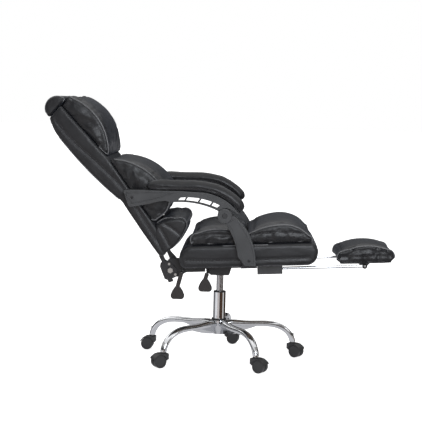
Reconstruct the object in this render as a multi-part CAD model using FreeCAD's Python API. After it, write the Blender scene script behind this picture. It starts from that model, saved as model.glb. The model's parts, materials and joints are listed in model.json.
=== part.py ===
"""Reclining office chair with a slide-out footrest.

The chair is built with its backrest laid down and its footrest pulled out.
Frame: millimetres, +Z up, +X towards the sitter's knees, +Y to the sitter's left.
The origin is where the column's axis meets the floor.

The backrest is drawn upright about its hinge and then laid back.
The seat is drawn level about the column's axis and then tipped up at the front.
"""
import FreeCAD
import Part
import math
import os

# Clearances
SOFT_GAP = 0.6
RUNNING_FIT = 0.05
SIDE_PLAY = 0.5

# Pose of the two tilted groups
BACK_RECLINE_DEG = 34.0
SEAT_TILT_DEG = 3.0
SEAT_BOTTOM_Z = 399.0
HINGE_X = -193.0
HINGE_Z = 370.0

# Star base
LEG_COUNT = 5
FIRST_LEG_DEG = 11.2
STEM_RADIUS_FROM_AXIS = 307.0
HUB_RADIUS = 29.0
HUB_BOTTOM_Z = 99.0
HUB_TOP_Z = 154.0
LEG_TOP_Z = 150.0
LEG_WIDTH = 30.0
LEG_HEIGHT = 24.0
LEG_END_DIAMETER = 25.0
LEG_END_Z = 62.0
WEB_LENGTH = 150.0
WEB_THICKNESS = 13.0

# Column and gas lift
COLUMN_RADIUS = 25.0
COLUMN_BORE_RADIUS = 21.0
COLUMN_TOP_Z = 268.0
COLUMN_FLOOR_THICKNESS = 4.0
COLLAR_RADIUS = 30.0
COLLAR_HEIGHT = 7.0
TOP_RING_HEIGHT = 4.0
CYLINDER_RADIUS = 14.0
CYLINDER_WALL = 2.5
CYLINDER_LENGTH = 182.0
CYLINDER_TOP_Z = 360.0
PISTON_ROD_RADIUS = 5.0
PISTON_HEIGHT = 8.0
PISTON_ROD_TOP_Z = 236.0
BEARING_RADIUS = 16.0
BEARING_HEIGHT = 8.0
BUSH_LENGTH = 66.0

# Casters
WHEEL_RADIUS = 25.0
WHEEL_WIDTH = 17.0
WHEEL_INNER_Y = 3.6
CASTER_TRAIL = 20.0
CASTER_HEADINGS_DEG = (-35.0, -10.0, 175.0, 210.0, -30.0)
CASTER_TOP_Z = 59.0
STEM_RADIUS = 5.5
STEM_TOP_Z = 96.0
AXLE_RADIUS = 4.0
HOOD_GAP = 1.6
HOOD_WALL = 3.0

# Mechanism and seat frame
HOUSING_HALF_WIDTH = 42.0
HOUSING_BOTTOM_Z = 341.0
FRAME_DEPTH = 17.0
FRAME_PLATE = 5.0
FRAME_REAR_X = -168.0
FRAME_FRONT_X = 105.0
FRAME_ARM_DEPTH = 29.0
FRAME_ARM_REAR_X = -152.0
FRAME_ARM_FRONT_X = -58.0
RAIL_INNER_Y = 116.0
RAIL_OUTER_Y = 141.0
RECLINER_PLATE = 5.0
HINGE_PIN_RADIUS = 7.0
HINGE_HEAD_HEIGHT = 6.0
BOLT_HEAD_HEIGHT = 4.0

# Levers
LEVER_ROD_RADIUS = 4.0
LEVER_OUTER_Y = 212.0
LEVER_ROD_OVERLAP = 8.0
RECLINE_LEVER_X = -147.0
RECLINE_LEVER_Z = 366.0
RECLINE_LEVER_DROP = 100.0
RECLINE_LEVER_LEAN = 13.0
HEIGHT_LEVER_X = -48.0
HEIGHT_LEVER_Z = 364.0
HEIGHT_LEVER_DROP = 66.0
HEIGHT_LEVER_LEAN = 5.0
PADDLE_WIDTH = 53.0
PADDLE_HEIGHT = 50.0
PADDLE_THICKNESS = 13.0
PADDLE_STEM_WIDTH = 17.0
PADDLE_CORNER = 13.0

# Seat cushions
SEAT_HALF_WIDTH = 252.0
SEAT_REAR_X = -140.0
SEAT_FRONT_X = 356.0
SEAT_BODY_HEIGHT = 88.0
SEAT_BOARD_THICKNESS = 12.0
SEAT_BOARD_MARGIN = 22.0
SEAT_BOARD_FRONT_MARGIN = 46.0
PILLOW_INSET = 8.0
PILLOW_HALF_WIDTH = SEAT_HALF_WIDTH - PILLOW_INSET
REAR_PILLOW_CROWN = 163.0
FRONT_PILLOW_CROWN = 175.0

# Backrest
BACK_HALF_WIDTH = 236.0
CUSHION_HALF_WIDTH = 238.0
HEAD_HALF_WIDTH = 232.0
BACK_BOARD_THICKNESS = 12.0
BACK_BOARD_HALF_WIDTH = 200.0
POST_INNER_Y = 146.6
POST_OUTER_Y = 172.0
POST_DEPTH = 14.0
POST_TOP = 380.0

# Armrests and their linkage
ARM_PIVOT_X = 18.0
ARM_PIVOT_Z = 604.0
LINK_PIVOT_X = 114.0
LINK_PIVOT_Z = 434.0
REAR_PIN_X = -336.0
REAR_PIN_Z = 665.0
ARM_CLEARANCE = 10.0
ARM_THICKNESS = 37.0
ARM_INNER_Y = SEAT_HALF_WIDTH + ARM_CLEARANCE
ARM_OUTER_Y = ARM_INNER_Y + ARM_THICKNESS
ARM_PAD_INNER_Y = ARM_INNER_Y - 16.0
ARM_PAD_OUTER_Y = ARM_OUTER_Y + 3.0
ARM_PAD_HEIGHT = 39.0
RUNG_WIDTH = 7.5
RECESS_DEPTH = 1.5
KNUCKLE_RADIUS = 28.0
KNUCKLE_SPLIT_Y = ARM_INNER_Y + 20.5
LINK_OUTER_Y = ARM_OUTER_Y + 2.0
LINK_PIN_RADIUS = 6.0
STUD_RADIUS = 8.0
STUD_HEAD_RADIUS = 12.0
REAR_PIN_RADIUS = 6.0
REAR_PIN_END_Y = ARM_INNER_Y + 22.0
REAR_POCKET_BACK = 7.5
REAR_POCKET_FRONT = 10.5
REAR_POCKET_DOWN = 13.0
REAR_POCKET_UP = 16.5
REAR_POCKET_DEPTH = 25.0
BRACKET_PLATE = 4.0
BRACKET_GAP = 5.0
BRACKET_REAR_X = LINK_PIVOT_X - 30.0
BRACKET_FRONT_X = LINK_PIVOT_X + 32.0
BRACKET_FOOT_LENGTH = 85.0
BRACKET_SHOULDER = 18.0

# Footrest
PAD_HALF_WIDTH = 142.0
ROD_RADIUS = 6.0
ROD_CENTRE_Y = PAD_HALF_WIDTH + 15.0
ROD_DROP = 20.0
ROD_REAR_X = 190.0
PAD_PIVOT_X = 566.0
ROD_EYE_RADIUS = 10.0
ROD_EYE_WIDTH = 14.0
GUIDE_REAR_X = 147.0
GUIDE_FRONT_X = 245.0
GUIDE_INNER_Y = ROD_CENTRE_Y - 11.0
GUIDE_OUTER_Y = ROD_CENTRE_Y + 13.0
GUIDE_DEPTH = 41.0
PAD_AXLE_RADIUS = 4.0
PAD_LIFT = 7.0
PAD_REAR = 105.0
PAD_FRONT = 117.0
PAD_CROWN = 74.0
PAD_BOARD_THICKNESS = 10.0
PAD_BOARD_MARGIN = 24.0
PAD_BRACKET_Y = PAD_HALF_WIDTH - PAD_BOARD_MARGIN / 2.0 - 2.0


# Small helpers for outlines, blocks and placing

def point(x, z, y=0.0):
    return FreeCAD.Vector(x, y, z)


def closed_wire(path, y=0.0):
    """A closed outline in the X-Z plane: (x, z) is a straight step, (mx, mz, x, z) an arc."""
    start = point(path[0][0], path[0][1], y)
    here = start
    edges = []
    for step in path[1:]:
        end = point(step[-2], step[-1], y)
        if len(step) == 4:
            edges.append(Part.Arc(here, point(step[0], step[1], y), end).toShape())
        else:
            edges.append(Part.LineSegment(here, end).toShape())
        here = end
    if (here - start).Length > 1e-6:
        edges.append(Part.LineSegment(here, start).toShape())
    return Part.Wire(edges)


def plate(path, y_low, y_high):
    face = Part.Face(closed_wire(path, y_low))
    return face.extrude(FreeCAD.Vector(0, y_high - y_low, 0))


def block(x_low, x_high, y_low, y_high, z_low, z_high):
    corner = FreeCAD.Vector(x_low, y_low, z_low)
    return Part.makeBox(x_high - x_low, y_high - y_low, z_high - z_low, corner)


def post(radius, z_low, z_high, x=0.0, y=0.0):
    return Part.makeCylinder(radius, z_high - z_low, FreeCAD.Vector(x, y, z_low))


def cross_pin(radius, x, z, y_low, y_high):
    return Part.makeCylinder(radius, y_high - y_low, point(x, z, y_low), FreeCAD.Vector(0, 1, 0))


def hex_bolt_head(across, height, x, z, y, outward):
    """A six-sided head on a face that looks along Y."""
    reach = across / math.sqrt(3.0)
    corners = [(x + reach * math.cos(math.radians(60 * k)), z + reach * math.sin(math.radians(60 * k)))
               for k in range(6)]
    return plate(corners, min(y, y + outward * height), max(y, y + outward * height))


def fused(solids):
    whole = solids[0]
    if len(solids) > 1:
        whole = whole.multiFuse(solids[1:])
    return whole.removeSplitter()


def group(solids):
    return Part.makeCompound(solids)


def mirrored(shape):
    return shape.mirror(FreeCAD.Vector(0, 0, 0), FreeCAD.Vector(0, 1, 0))


def both_sides(shape):
    return group([shape, mirrored(shape)])


def rounded(solid, radius, pick):
    """Fillet the edges that pick chooses."""
    edges = [edge for edge in solid.Edges if pick(edge)]
    return solid.makeFillet(radius, edges)


def lies_at_y(edge, y):
    return abs(edge.BoundBox.YMin - y) < 0.01 and abs(edge.BoundBox.YMax - y) < 0.01


def laid_back(shape):
    """From the upright backrest drawing, whose origin is the hinge, to its reclined place."""
    placed = shape.copy()
    placed.rotate(FreeCAD.Vector(0, 0, 0), FreeCAD.Vector(0, 1, 0), -BACK_RECLINE_DEG)
    placed.translate(point(HINGE_X, HINGE_Z))
    return placed


def in_back_drawing(x, z):
    """A place in the chair's frame, given in the upright backrest drawing."""
    turn = math.radians(BACK_RECLINE_DEG)
    dx = x - HINGE_X
    dz = z - HINGE_Z
    return (dx * math.cos(turn) + dz * math.sin(turn), dz * math.cos(turn) - dx * math.sin(turn))


def tipped(shape):
    """From the level seat drawing, whose zero height is the cushion's underside, to its tilted place."""
    placed = shape.copy()
    placed.rotate(FreeCAD.Vector(0, 0, 0), FreeCAD.Vector(0, 1, 0), -SEAT_TILT_DEG)
    placed.translate(point(0, SEAT_BOTTOM_Z))
    return placed


def seat_height_at(x, level_z):
    """Height in the chair's frame of a level of the seat drawing, over the point x."""
    tilt = math.radians(SEAT_TILT_DEG)
    return SEAT_BOTTOM_Z + x * math.tan(tilt) + level_z / math.cos(tilt)


# Soft forms: a side profile that is lofted across the width, fuller in the middle

EDGE_STEPS = 4


def stations(edge, length_kept, thickness_kept, crown):
    """Shares of the half width, the length kept and the thickness kept, from the end to the middle.

    edge is the share of the half width over which the end rounds off.
    crown is the share of the thickness lost between the middle and the end's rounding.
    """
    result = []
    for k in range(EDGE_STEPS + 1):
        turn = math.radians(90.0 * k / EDGE_STEPS)
        share = 1.0 - edge * (1.0 - math.cos(turn))
        length = length_kept + (1.0 - length_kept) * math.sin(turn)
        thickness = thickness_kept + (1.0 - thickness_kept) * math.sin(turn)
        result.append((share, length, thickness * (1.0 - crown * share ** 2)))
    for share in (0.6, 0.3):
        result.append((share, 1.0, 1.0 - crown * share ** 2))
    result.append((0.0, 1.0, 1.0))
    return result


BOXED = stations(0.05, 0.955, 0.86, 0.02)
CROWNED = stations(0.10, 0.94, 0.72, 0.12)
ROLLED = stations(0.09, 0.99, 0.86, 0.05)
PANELLED = stations(0.09, 0.994, 0.94, 0.01)


def squeezed(path, keep_length, keep_thickness, base, lengthwise):
    """Scale a profile about its middle along its length and about its base across it."""
    xs = [step[-2] for step in path]
    zs = [step[-1] for step in path]
    x_mid = (min(xs) + max(xs)) / 2.0
    z_mid = (min(zs) + max(zs)) / 2.0

    def moved(x, z):
        if lengthwise == "x":
            return x_mid + (x - x_mid) * keep_length, base(x) + (z - base(x)) * keep_thickness
        new_z = z_mid + (z - z_mid) * keep_length
        return base(new_z) + (x - base(z)) * keep_thickness, new_z

    result = []
    for step in path:
        if len(step) == 4:
            result.append(moved(step[0], step[1]) + moved(step[2], step[3]))
        else:
            result.append(moved(step[0], step[1]))
    return result


def cushion(path, half_width, form, base, lengthwise):
    """Loft a profile from one side to the other through the form's stations."""
    across = [(-share, length, thickness) for share, length, thickness in form]
    across += [station for station in reversed(form) if station[0] > 0.0]
    wires = [closed_wire(squeezed(path, length, thickness, base, lengthwise), share * half_width)
             for share, length, thickness in across]
    return Part.makeLoft(wires, True, True)


def flat_base(level):
    return lambda place: level


def sloped_base(low, high):
    """The base line between two (x, z) places, as x for a given z."""
    slope = (high[0] - low[0]) / (high[1] - low[1])
    return lambda z: low[0] + (z - low[1]) * slope


# Star base and column

def leg_section(reach, z, width, height, lean_deg):
    """An oval across the leg, turned from upright (0) to facing down (90)."""
    oval = Part.Ellipse(FreeCAD.Vector(0, 0, 0), width / 2.0, height / 2.0).toShape()
    wire = Part.Wire([oval])
    wire.rotate(FreeCAD.Vector(0, 0, 0), FreeCAD.Vector(0, 0, 1), 90)
    wire.rotate(FreeCAD.Vector(0, 0, 0), FreeCAD.Vector(0, 1, 0), 90 + lean_deg)
    wire.translate(FreeCAD.Vector(reach, 0, z))
    return wire


def star_leg():
    """One arched tube from the hub out and down to the caster's stem."""
    run_z = LEG_TOP_Z - LEG_HEIGHT / 2.0
    bend_start = 0.62 * STEM_RADIUS_FROM_AXIS
    bend = STEM_RADIUS_FROM_AXIS - bend_start
    drop = run_z - LEG_END_Z
    wires = [leg_section(HUB_RADIUS / 2.0, run_z - 2.0, LEG_WIDTH - 2.0, LEG_HEIGHT, 0.0),
             leg_section(bend_start * 0.6, run_z, LEG_WIDTH, LEG_HEIGHT, 0.0),
             leg_section(bend_start, run_z - 1.0, LEG_WIDTH, LEG_HEIGHT, 4.0),
             leg_section(bend_start + 0.48 * bend, run_z - 0.14 * drop, LEG_WIDTH, LEG_HEIGHT, 28.0),
             leg_section(bend_start + 0.84 * bend, run_z - 0.50 * drop, 0.94 * LEG_WIDTH, LEG_HEIGHT, 62.0),
             leg_section(STEM_RADIUS_FROM_AXIS, LEG_END_Z, LEG_END_DIAMETER, LEG_END_DIAMETER, 90.0)]
    return Part.makeLoft(wires, True, False)


def star_web():
    """The wedge under a leg, from the hub's foot to a point well along the leg."""
    top = LEG_TOP_Z - LEG_HEIGHT / 2.0
    tip = HUB_RADIUS + WEB_LENGTH
    path = [(HUB_RADIUS / 2.0, HUB_BOTTOM_Z + 3.0), (HUB_RADIUS + 8.0, HUB_BOTTOM_Z + 3.0),
            (HUB_RADIUS + 0.55 * WEB_LENGTH, HUB_BOTTOM_Z + 15.0, tip, top - 2.0),
            (HUB_RADIUS / 2.0, top - 2.0)]
    return plate(path, -WEB_THICKNESS / 2.0, WEB_THICKNESS / 2.0)


def leg_angles():
    return [FIRST_LEG_DEG + k * 360.0 / LEG_COUNT for k in range(LEG_COUNT)]


def star_base():
    solids = [post(HUB_RADIUS, HUB_BOTTOM_Z, HUB_TOP_Z)]
    for angle in leg_angles():
        leg = fused([star_leg(), star_web()])
        leg.rotate(FreeCAD.Vector(0, 0, 0), FreeCAD.Vector(0, 0, 1), angle)
        solids.append(leg)
    base = fused(solids)
    base = base.cut(post(COLUMN_RADIUS, HUB_BOTTOM_Z - 1.0, HUB_TOP_Z + 1.0))
    for angle in leg_angles():
        x = STEM_RADIUS_FROM_AXIS * math.cos(math.radians(angle))
        y = STEM_RADIUS_FROM_AXIS * math.sin(math.radians(angle))
        base = base.cut(post(STEM_RADIUS + RUNNING_FIT, LEG_END_Z - 1.0, STEM_TOP_Z + 1.0, x, y))
    return base


def outer_column():
    tube = post(COLUMN_RADIUS, HUB_BOTTOM_Z, COLUMN_TOP_Z)
    bore = post(COLUMN_BORE_RADIUS, HUB_BOTTOM_Z + COLUMN_FLOOR_THICKNESS, COLUMN_TOP_Z + 1.0)
    foot_hole = post(PISTON_ROD_RADIUS + RUNNING_FIT, HUB_BOTTOM_Z - 1.0, HUB_BOTTOM_Z + COLUMN_FLOOR_THICKNESS + 1.0)
    return tube.cut(bore).cut(foot_hole)


def column_collars():
    collar = post(COLLAR_RADIUS, HUB_TOP_Z, HUB_TOP_Z + COLLAR_HEIGHT)
    collar = collar.cut(post(COLUMN_RADIUS, HUB_TOP_Z - 1.0, HUB_TOP_Z + COLLAR_HEIGHT + 1.0))
    ring = post(COLUMN_RADIUS, COLUMN_TOP_Z, COLUMN_TOP_Z + TOP_RING_HEIGHT)
    ring = ring.cut(post(CYLINDER_RADIUS + 2.0, COLUMN_TOP_Z - 1.0, COLUMN_TOP_Z + TOP_RING_HEIGHT + 1.0))
    return group([collar, ring])


def lift_guide_bush():
    bush = post(COLUMN_BORE_RADIUS, COLUMN_TOP_Z - BUSH_LENGTH, COLUMN_TOP_Z)
    return bush.cut(post(CYLINDER_RADIUS + RUNNING_FIT, COLUMN_TOP_Z - BUSH_LENGTH - 1.0, COLUMN_TOP_Z + 1.0))


def lift_piston_rod():
    piston_radius = CYLINDER_RADIUS - CYLINDER_WALL - 2.0 * RUNNING_FIT
    rod = post(PISTON_ROD_RADIUS, HUB_BOTTOM_Z + 1.0, PISTON_ROD_TOP_Z)
    return fused([rod, post(piston_radius, PISTON_ROD_TOP_Z, PISTON_ROD_TOP_Z + PISTON_HEIGHT)])


def lift_thrust_bearing():
    floor = HUB_BOTTOM_Z + COLUMN_FLOOR_THICKNESS
    bearing = post(BEARING_RADIUS, floor + 0.05, floor + 0.05 + BEARING_HEIGHT)
    return bearing.cut(post(PISTON_ROD_RADIUS, floor - 1.0, floor + BEARING_HEIGHT + 2.0))


def lift_cylinder():
    low = CYLINDER_TOP_Z - CYLINDER_LENGTH
    tube = post(CYLINDER_RADIUS, low, CYLINDER_TOP_Z)
    hollow = post(CYLINDER_RADIUS - CYLINDER_WALL, low + 6.0, CYLINDER_TOP_Z - 12.0)
    rod_hole = post(PISTON_ROD_RADIUS + RUNNING_FIT, low - 1.0, low + 7.0)
    return tube.cut(hollow).cut(rod_hole)


# Casters, drawn with the stem on the Z axis and the wheel trailing along +X

def placed_caster(shape, k):
    angle = math.radians(leg_angles()[k])
    placed = shape.copy()
    placed.rotate(FreeCAD.Vector(0, 0, 0), FreeCAD.Vector(0, 0, 1), CASTER_HEADINGS_DEG[k])
    placed.translate(FreeCAD.Vector(STEM_RADIUS_FROM_AXIS * math.cos(angle),
                                    STEM_RADIUS_FROM_AXIS * math.sin(angle), 0))
    return placed


def caster_housing():
    """A boxy hood over both wheels with the stem's boss, and the rib that holds the axle."""
    half = WHEEL_INNER_Y + WHEEL_WIDTH
    inner = WHEEL_RADIUS + HOOD_GAP
    outer = inner + HOOD_WALL
    hood = cross_pin(outer, CASTER_TRAIL, WHEEL_RADIUS, -half, half)
    keep = plate([(-14.0, 30.0), (-14.0, CASTER_TOP_Z - 3.0), (CASTER_TRAIL + 4.0, CASTER_TOP_Z - 3.0),
                  (CASTER_TRAIL + outer + 4.0, WHEEL_RADIUS + 12.0), (CASTER_TRAIL, WHEEL_RADIUS)], -half, half)
    hood = hood.common(keep)
    brow = block(-14.0, CASTER_TRAIL - 2.0, -half, half, 33.0, CASTER_TOP_Z - 3.0)
    hood = fused([hood, brow]).cut(cross_pin(inner, CASTER_TRAIL, WHEEL_RADIUS, -half - 1.0, half + 1.0))
    rib_half = WHEEL_INNER_Y - SIDE_PLAY
    rib = cross_pin(WHEEL_RADIUS - 4.0, CASTER_TRAIL, WHEEL_RADIUS, -rib_half, rib_half)
    neck = block(-9.0, CASTER_TRAIL + 8.0, -rib_half, rib_half, 30.0, CASTER_TOP_Z - 6.0)
    boss = post(11.0, CASTER_TOP_Z - 12.0, CASTER_TOP_Z)
    boss = boss.cut(cross_pin(inner, CASTER_TRAIL, WHEEL_RADIUS, -half, half))
    body = fused([hood, rib, neck, boss])
    body = body.cut(cross_pin(AXLE_RADIUS, CASTER_TRAIL, WHEEL_RADIUS, -half, half))
    return body.cut(post(STEM_RADIUS, CASTER_TOP_Z - 13.0, CASTER_TOP_Z + 1.0))


def caster_stem_axle():
    stem = post(STEM_RADIUS, CASTER_TOP_Z - 13.0 + 6.0, STEM_TOP_Z)
    flange = post(STEM_RADIUS + 2.5, CASTER_TOP_Z, CASTER_TOP_Z + 2.0)
    half = WHEEL_INNER_Y + WHEEL_WIDTH - 5.0
    return group([fused([stem, flange]), cross_pin(AXLE_RADIUS, CASTER_TRAIL, WHEEL_RADIUS, -half, half)])


def caster_wheel():
    """One wheel of a pair, dished on its outer face, with a blind hub bore."""
    low = WHEEL_INNER_Y
    high = WHEEL_INNER_Y + WHEEL_WIDTH
    wheel = cross_pin(WHEEL_RADIUS, CASTER_TRAIL, WHEEL_RADIUS, low, high)
    wheel = rounded(wheel, 2.5, lambda edge: lies_at_y(edge, high) or lies_at_y(edge, low))
    dish = cross_pin(WHEEL_RADIUS - 6.0, CASTER_TRAIL, WHEEL_RADIUS, high - 1.5, high + 1.0)
    bore = cross_pin(AXLE_RADIUS + RUNNING_FIT, CASTER_TRAIL, WHEEL_RADIUS, low - 1.0, high - 4.5)
    return wheel.cut(dish).cut(bore)


# Mechanism, seat frame and recliners

def mechanism_housing():
    floor = HOUSING_BOTTOM_Z
    left_top = seat_height_at(-56.0, -FRAME_DEPTH)
    right_top = seat_height_at(50.0, -FRAME_DEPTH)
    path = [(-56.0, left_top), (-56.0, HEIGHT_LEVER_Z - 7.0), (-42.0, floor + 4.0), (-36.0, floor),
            (32.0, floor), (38.0, floor + 4.0), (50.0, right_top)]
    body = plate(path, -HOUSING_HALF_WIDTH, HOUSING_HALF_WIDTH)
    body = body.cut(post(CYLINDER_RADIUS, floor - 1.0, CYLINDER_TOP_Z))
    return body.cut(cross_pin(LEVER_ROD_RADIUS + RUNNING_FIT, HEIGHT_LEVER_X, HEIGHT_LEVER_Z,
                              -HOUSING_HALF_WIDTH - 1.0, -HOUSING_HALF_WIDTH + 24.0))


def seat_frame():
    """A pressed tray: a plate with a deep rail along each side, deeper still behind the column."""
    sheet = block(FRAME_REAR_X, FRAME_FRONT_X, -RAIL_INNER_Y, RAIL_INNER_Y, -FRAME_DEPTH, -FRAME_DEPTH + FRAME_PLATE)
    rail = block(FRAME_REAR_X, FRAME_FRONT_X, RAIL_INNER_Y, RAIL_OUTER_Y, -FRAME_DEPTH, 0.0)
    arm = block(FRAME_ARM_REAR_X, FRAME_ARM_FRONT_X, RAIL_INNER_Y, RAIL_OUTER_Y, -FRAME_ARM_DEPTH, -FRAME_DEPTH)
    frame = tipped(fused([sheet, rail, arm, mirrored(rail), mirrored(arm)]))
    return frame.cut(cross_pin(LEVER_ROD_RADIUS + RUNNING_FIT, RECLINE_LEVER_X, RECLINE_LEVER_Z,
                               -RAIL_OUTER_Y - 1.0, -RAIL_INNER_Y + LEVER_ROD_OVERLAP + 1.0))


SEAT_PLATE_FOOT = [(-96.0, 388.0), (-96.0, 374.0), (-134.0, 362.0), (-158.0, 345.0), (-180.0, 345.0),
                   (-207.0, 358.0)]
TALL_SEAT_PLATE = [(-209.0, 404.0), (-199.0, 416.0), (-156.0, 414.0), (-150.0, 388.0)] + SEAT_PLATE_FOOT
LOW_SEAT_PLATE = [(-209.0, 376.0), (-200.0, 383.0), (-152.0, 384.0)] + SEAT_PLATE_FOOT
BROAD_BACK_PLATE = [(-16.0, 46.0), (-26.0, 35.0), (-31.0, 13.0), (-37.0, -16.0), (-29.0, -27.0),
                    (-30.0, -36.0, -21.0, -39.0), (-12.0, -40.0, -13.0, -31.0), (11.0, -34.0), (24.0, -15.0),
                    (20.0, 15.0), (8.0, 46.0)]
SLIM_BACK_PLATE = [(-8.0, 46.0), (-14.0, 12.0), (-14.0, -10.0), (-8.0, -17.0), (8.0, -17.0), (14.0, -10.0),
                   (14.0, 12.0), (8.0, 46.0)]


def recliner_seat_plate(path):
    """The fixed half of a recliner: a steel plate bolted to the seat frame's rail."""
    body = plate(path, RAIL_OUTER_Y, RAIL_OUTER_Y + RECLINER_PLATE)
    outer = RAIL_OUTER_Y + RECLINER_PLATE
    heads = [hex_bolt_head(9.0, BOLT_HEAD_HEIGHT, x, 381.0, outer, 1.0) for x in (-132.0, -108.0)]
    body = fused([body] + heads)
    body = body.cut(cross_pin(HINGE_PIN_RADIUS + RUNNING_FIT, HINGE_X, HINGE_Z, 100.0, 200.0))
    return body.cut(cross_pin(LEVER_ROD_RADIUS + RUNNING_FIT, RECLINE_LEVER_X, RECLINE_LEVER_Z, 100.0, 200.0))


def recliner_seat_plates():
    """The right side carries the lock, and the left is a plain hinge."""
    return group([recliner_seat_plate(LOW_SEAT_PLATE), mirrored(recliner_seat_plate(TALL_SEAT_PLATE))])


def recliner_back_plate(path):
    """The moving half of a recliner, drawn upright about the hinge."""
    low = RAIL_OUTER_Y + RECLINER_PLATE + SIDE_PLAY
    body = plate(path, low, low + RECLINER_PLATE)
    return body.cut(cross_pin(HINGE_PIN_RADIUS, 0.0, 0.0, low - 1.0, low + RECLINER_PLATE + 1.0))


def recliner_back_plates():
    return laid_back(group([recliner_back_plate(SLIM_BACK_PLATE), mirrored(recliner_back_plate(BROAD_BACK_PLATE))]))


def recliner_bolts():
    """The hinge bolt on each side and the two bolt heads on the lock's moving plate."""
    face = RAIL_OUTER_Y + RECLINER_PLATE + SIDE_PLAY + RECLINER_PLATE
    shank = cross_pin(HINGE_PIN_RADIUS, 0.0, 0.0, RAIL_OUTER_Y - 4.0, face)
    hinge_bolt = fused([shank, hex_bolt_head(19.0, HINGE_HEAD_HEIGHT, 0.0, 0.0, face, 1.0)])
    heads = [hex_bolt_head(9.0, BOLT_HEAD_HEIGHT, x, z, face, 1.0) for x, z in ((10.0, 24.0), (8.0, -24.0))]
    return laid_back(group([hinge_bolt, mirrored(hinge_bolt)] + [mirrored(head) for head in heads]))


# Levers

def lever_paddle(x, z, drop, lean):
    """A flat glossy handle hanging from the lever's rod, widening to a round-cornered paddle."""
    neck = PADDLE_STEM_WIDTH / 2.0
    wide = PADDLE_WIDTH / 2.0
    foot_x = x - lean
    foot_z = z - drop
    shoulder_z = foot_z + PADDLE_HEIGHT
    corner = PADDLE_CORNER
    bulge = corner * (1.0 - math.sqrt(0.5))
    cheek = 0.76 * wide
    cheek_z = foot_z + 0.66 * PADDLE_HEIGHT
    side_z = foot_z + 0.34 * PADDLE_HEIGHT
    path = [(x - neck, z), (foot_x - neck, shoulder_z), (foot_x - cheek, cheek_z, foot_x - wide, side_z),
            (foot_x - wide, foot_z + corner),
            (foot_x - wide + bulge, foot_z + bulge, foot_x - wide + corner, foot_z),
            (foot_x + wide - corner, foot_z),
            (foot_x + wide - bulge, foot_z + bulge, foot_x + wide, foot_z + corner),
            (foot_x + wide, side_z), (foot_x + cheek, cheek_z, foot_x + neck, shoulder_z), (x + neck, z),
            (x, z + neck, x - neck, z)]
    inner = -LEVER_OUTER_Y
    body = plate(path, inner, inner + PADDLE_THICKNESS)
    body = rounded(body, 2.5, lambda edge: lies_at_y(edge, inner) or lies_at_y(edge, inner + PADDLE_THICKNESS))
    return body.cut(cross_pin(LEVER_ROD_RADIUS, x, z, inner + 3.0, inner + PADDLE_THICKNESS + 1.0))


def recline_lever_rod():
    return cross_pin(LEVER_ROD_RADIUS, RECLINE_LEVER_X, RECLINE_LEVER_Z, -LEVER_OUTER_Y + 3.0,
                     -RAIL_INNER_Y + LEVER_ROD_OVERLAP)


def recline_lever_paddle():
    return lever_paddle(RECLINE_LEVER_X, RECLINE_LEVER_Z, RECLINE_LEVER_DROP, RECLINE_LEVER_LEAN)


def height_lever_rod():
    return cross_pin(LEVER_ROD_RADIUS, HEIGHT_LEVER_X, HEIGHT_LEVER_Z, -LEVER_OUTER_Y + 3.0,
                     -HOUSING_HALF_WIDTH + 22.0)


def height_lever_paddle():
    return lever_paddle(HEIGHT_LEVER_X, HEIGHT_LEVER_Z, HEIGHT_LEVER_DROP, HEIGHT_LEVER_LEAN)


# Seat, drawn level with the cushion's underside at zero

def seat_board_block():
    return block(SEAT_REAR_X + SEAT_BOARD_MARGIN, SEAT_FRONT_X - SEAT_BOARD_FRONT_MARGIN,
                 -SEAT_HALF_WIDTH + SEAT_BOARD_MARGIN, SEAT_HALF_WIDTH - SEAT_BOARD_MARGIN, 0.0, SEAT_BOARD_THICKNESS)


def seat_board():
    return tipped(seat_board_block())


def seat_body():
    """The boxed body under the pillows: flat below, bulging at the front and the rear."""
    top = SEAT_BODY_HEIGHT
    path = [(SEAT_REAR_X, 0.0), (SEAT_FRONT_X - 24.0, 0.0),
            (SEAT_FRONT_X + 8.0, 0.1 * top, SEAT_FRONT_X + 24.0, 0.4 * top),
            (SEAT_FRONT_X + 26.0, 0.75 * top, SEAT_FRONT_X + 10.0, top),
            (SEAT_REAR_X + 22.0, top), (SEAT_REAR_X - 12.0, 0.6 * top, SEAT_REAR_X, 0.0)]
    body = cushion(path, SEAT_HALF_WIDTH, BOXED, flat_base(0.0), "x")
    return tipped(body.cut(seat_board_block()))


def seat_rear_pillow():
    base = SEAT_BODY_HEIGHT
    path = [(-98.0, base), (92.0, base), (107.0, base + 26.0, 92.0, base + 52.0),
            (0.0, REAR_PILLOW_CROWN, -82.0, base + 57.0), (-110.0, base + 30.0, -98.0, base)]
    return tipped(cushion(path, PILLOW_HALF_WIDTH, CROWNED, flat_base(base), "x"))


def seat_front_pillow():
    base = SEAT_BODY_HEIGHT
    crown = FRONT_PILLOW_CROWN
    path = [(116.0, base), (350.0, base), (366.0, base + 14.0, 350.0, base + 31.0),
            (314.0, base + 68.0, 262.0, crown), (196.0, crown - 6.0, 134.0, base + 58.0),
            (109.0, base + 28.0, 116.0, base)]
    return tipped(cushion(path, PILLOW_HALF_WIDTH, CROWNED, flat_base(base), "x"))


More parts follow.
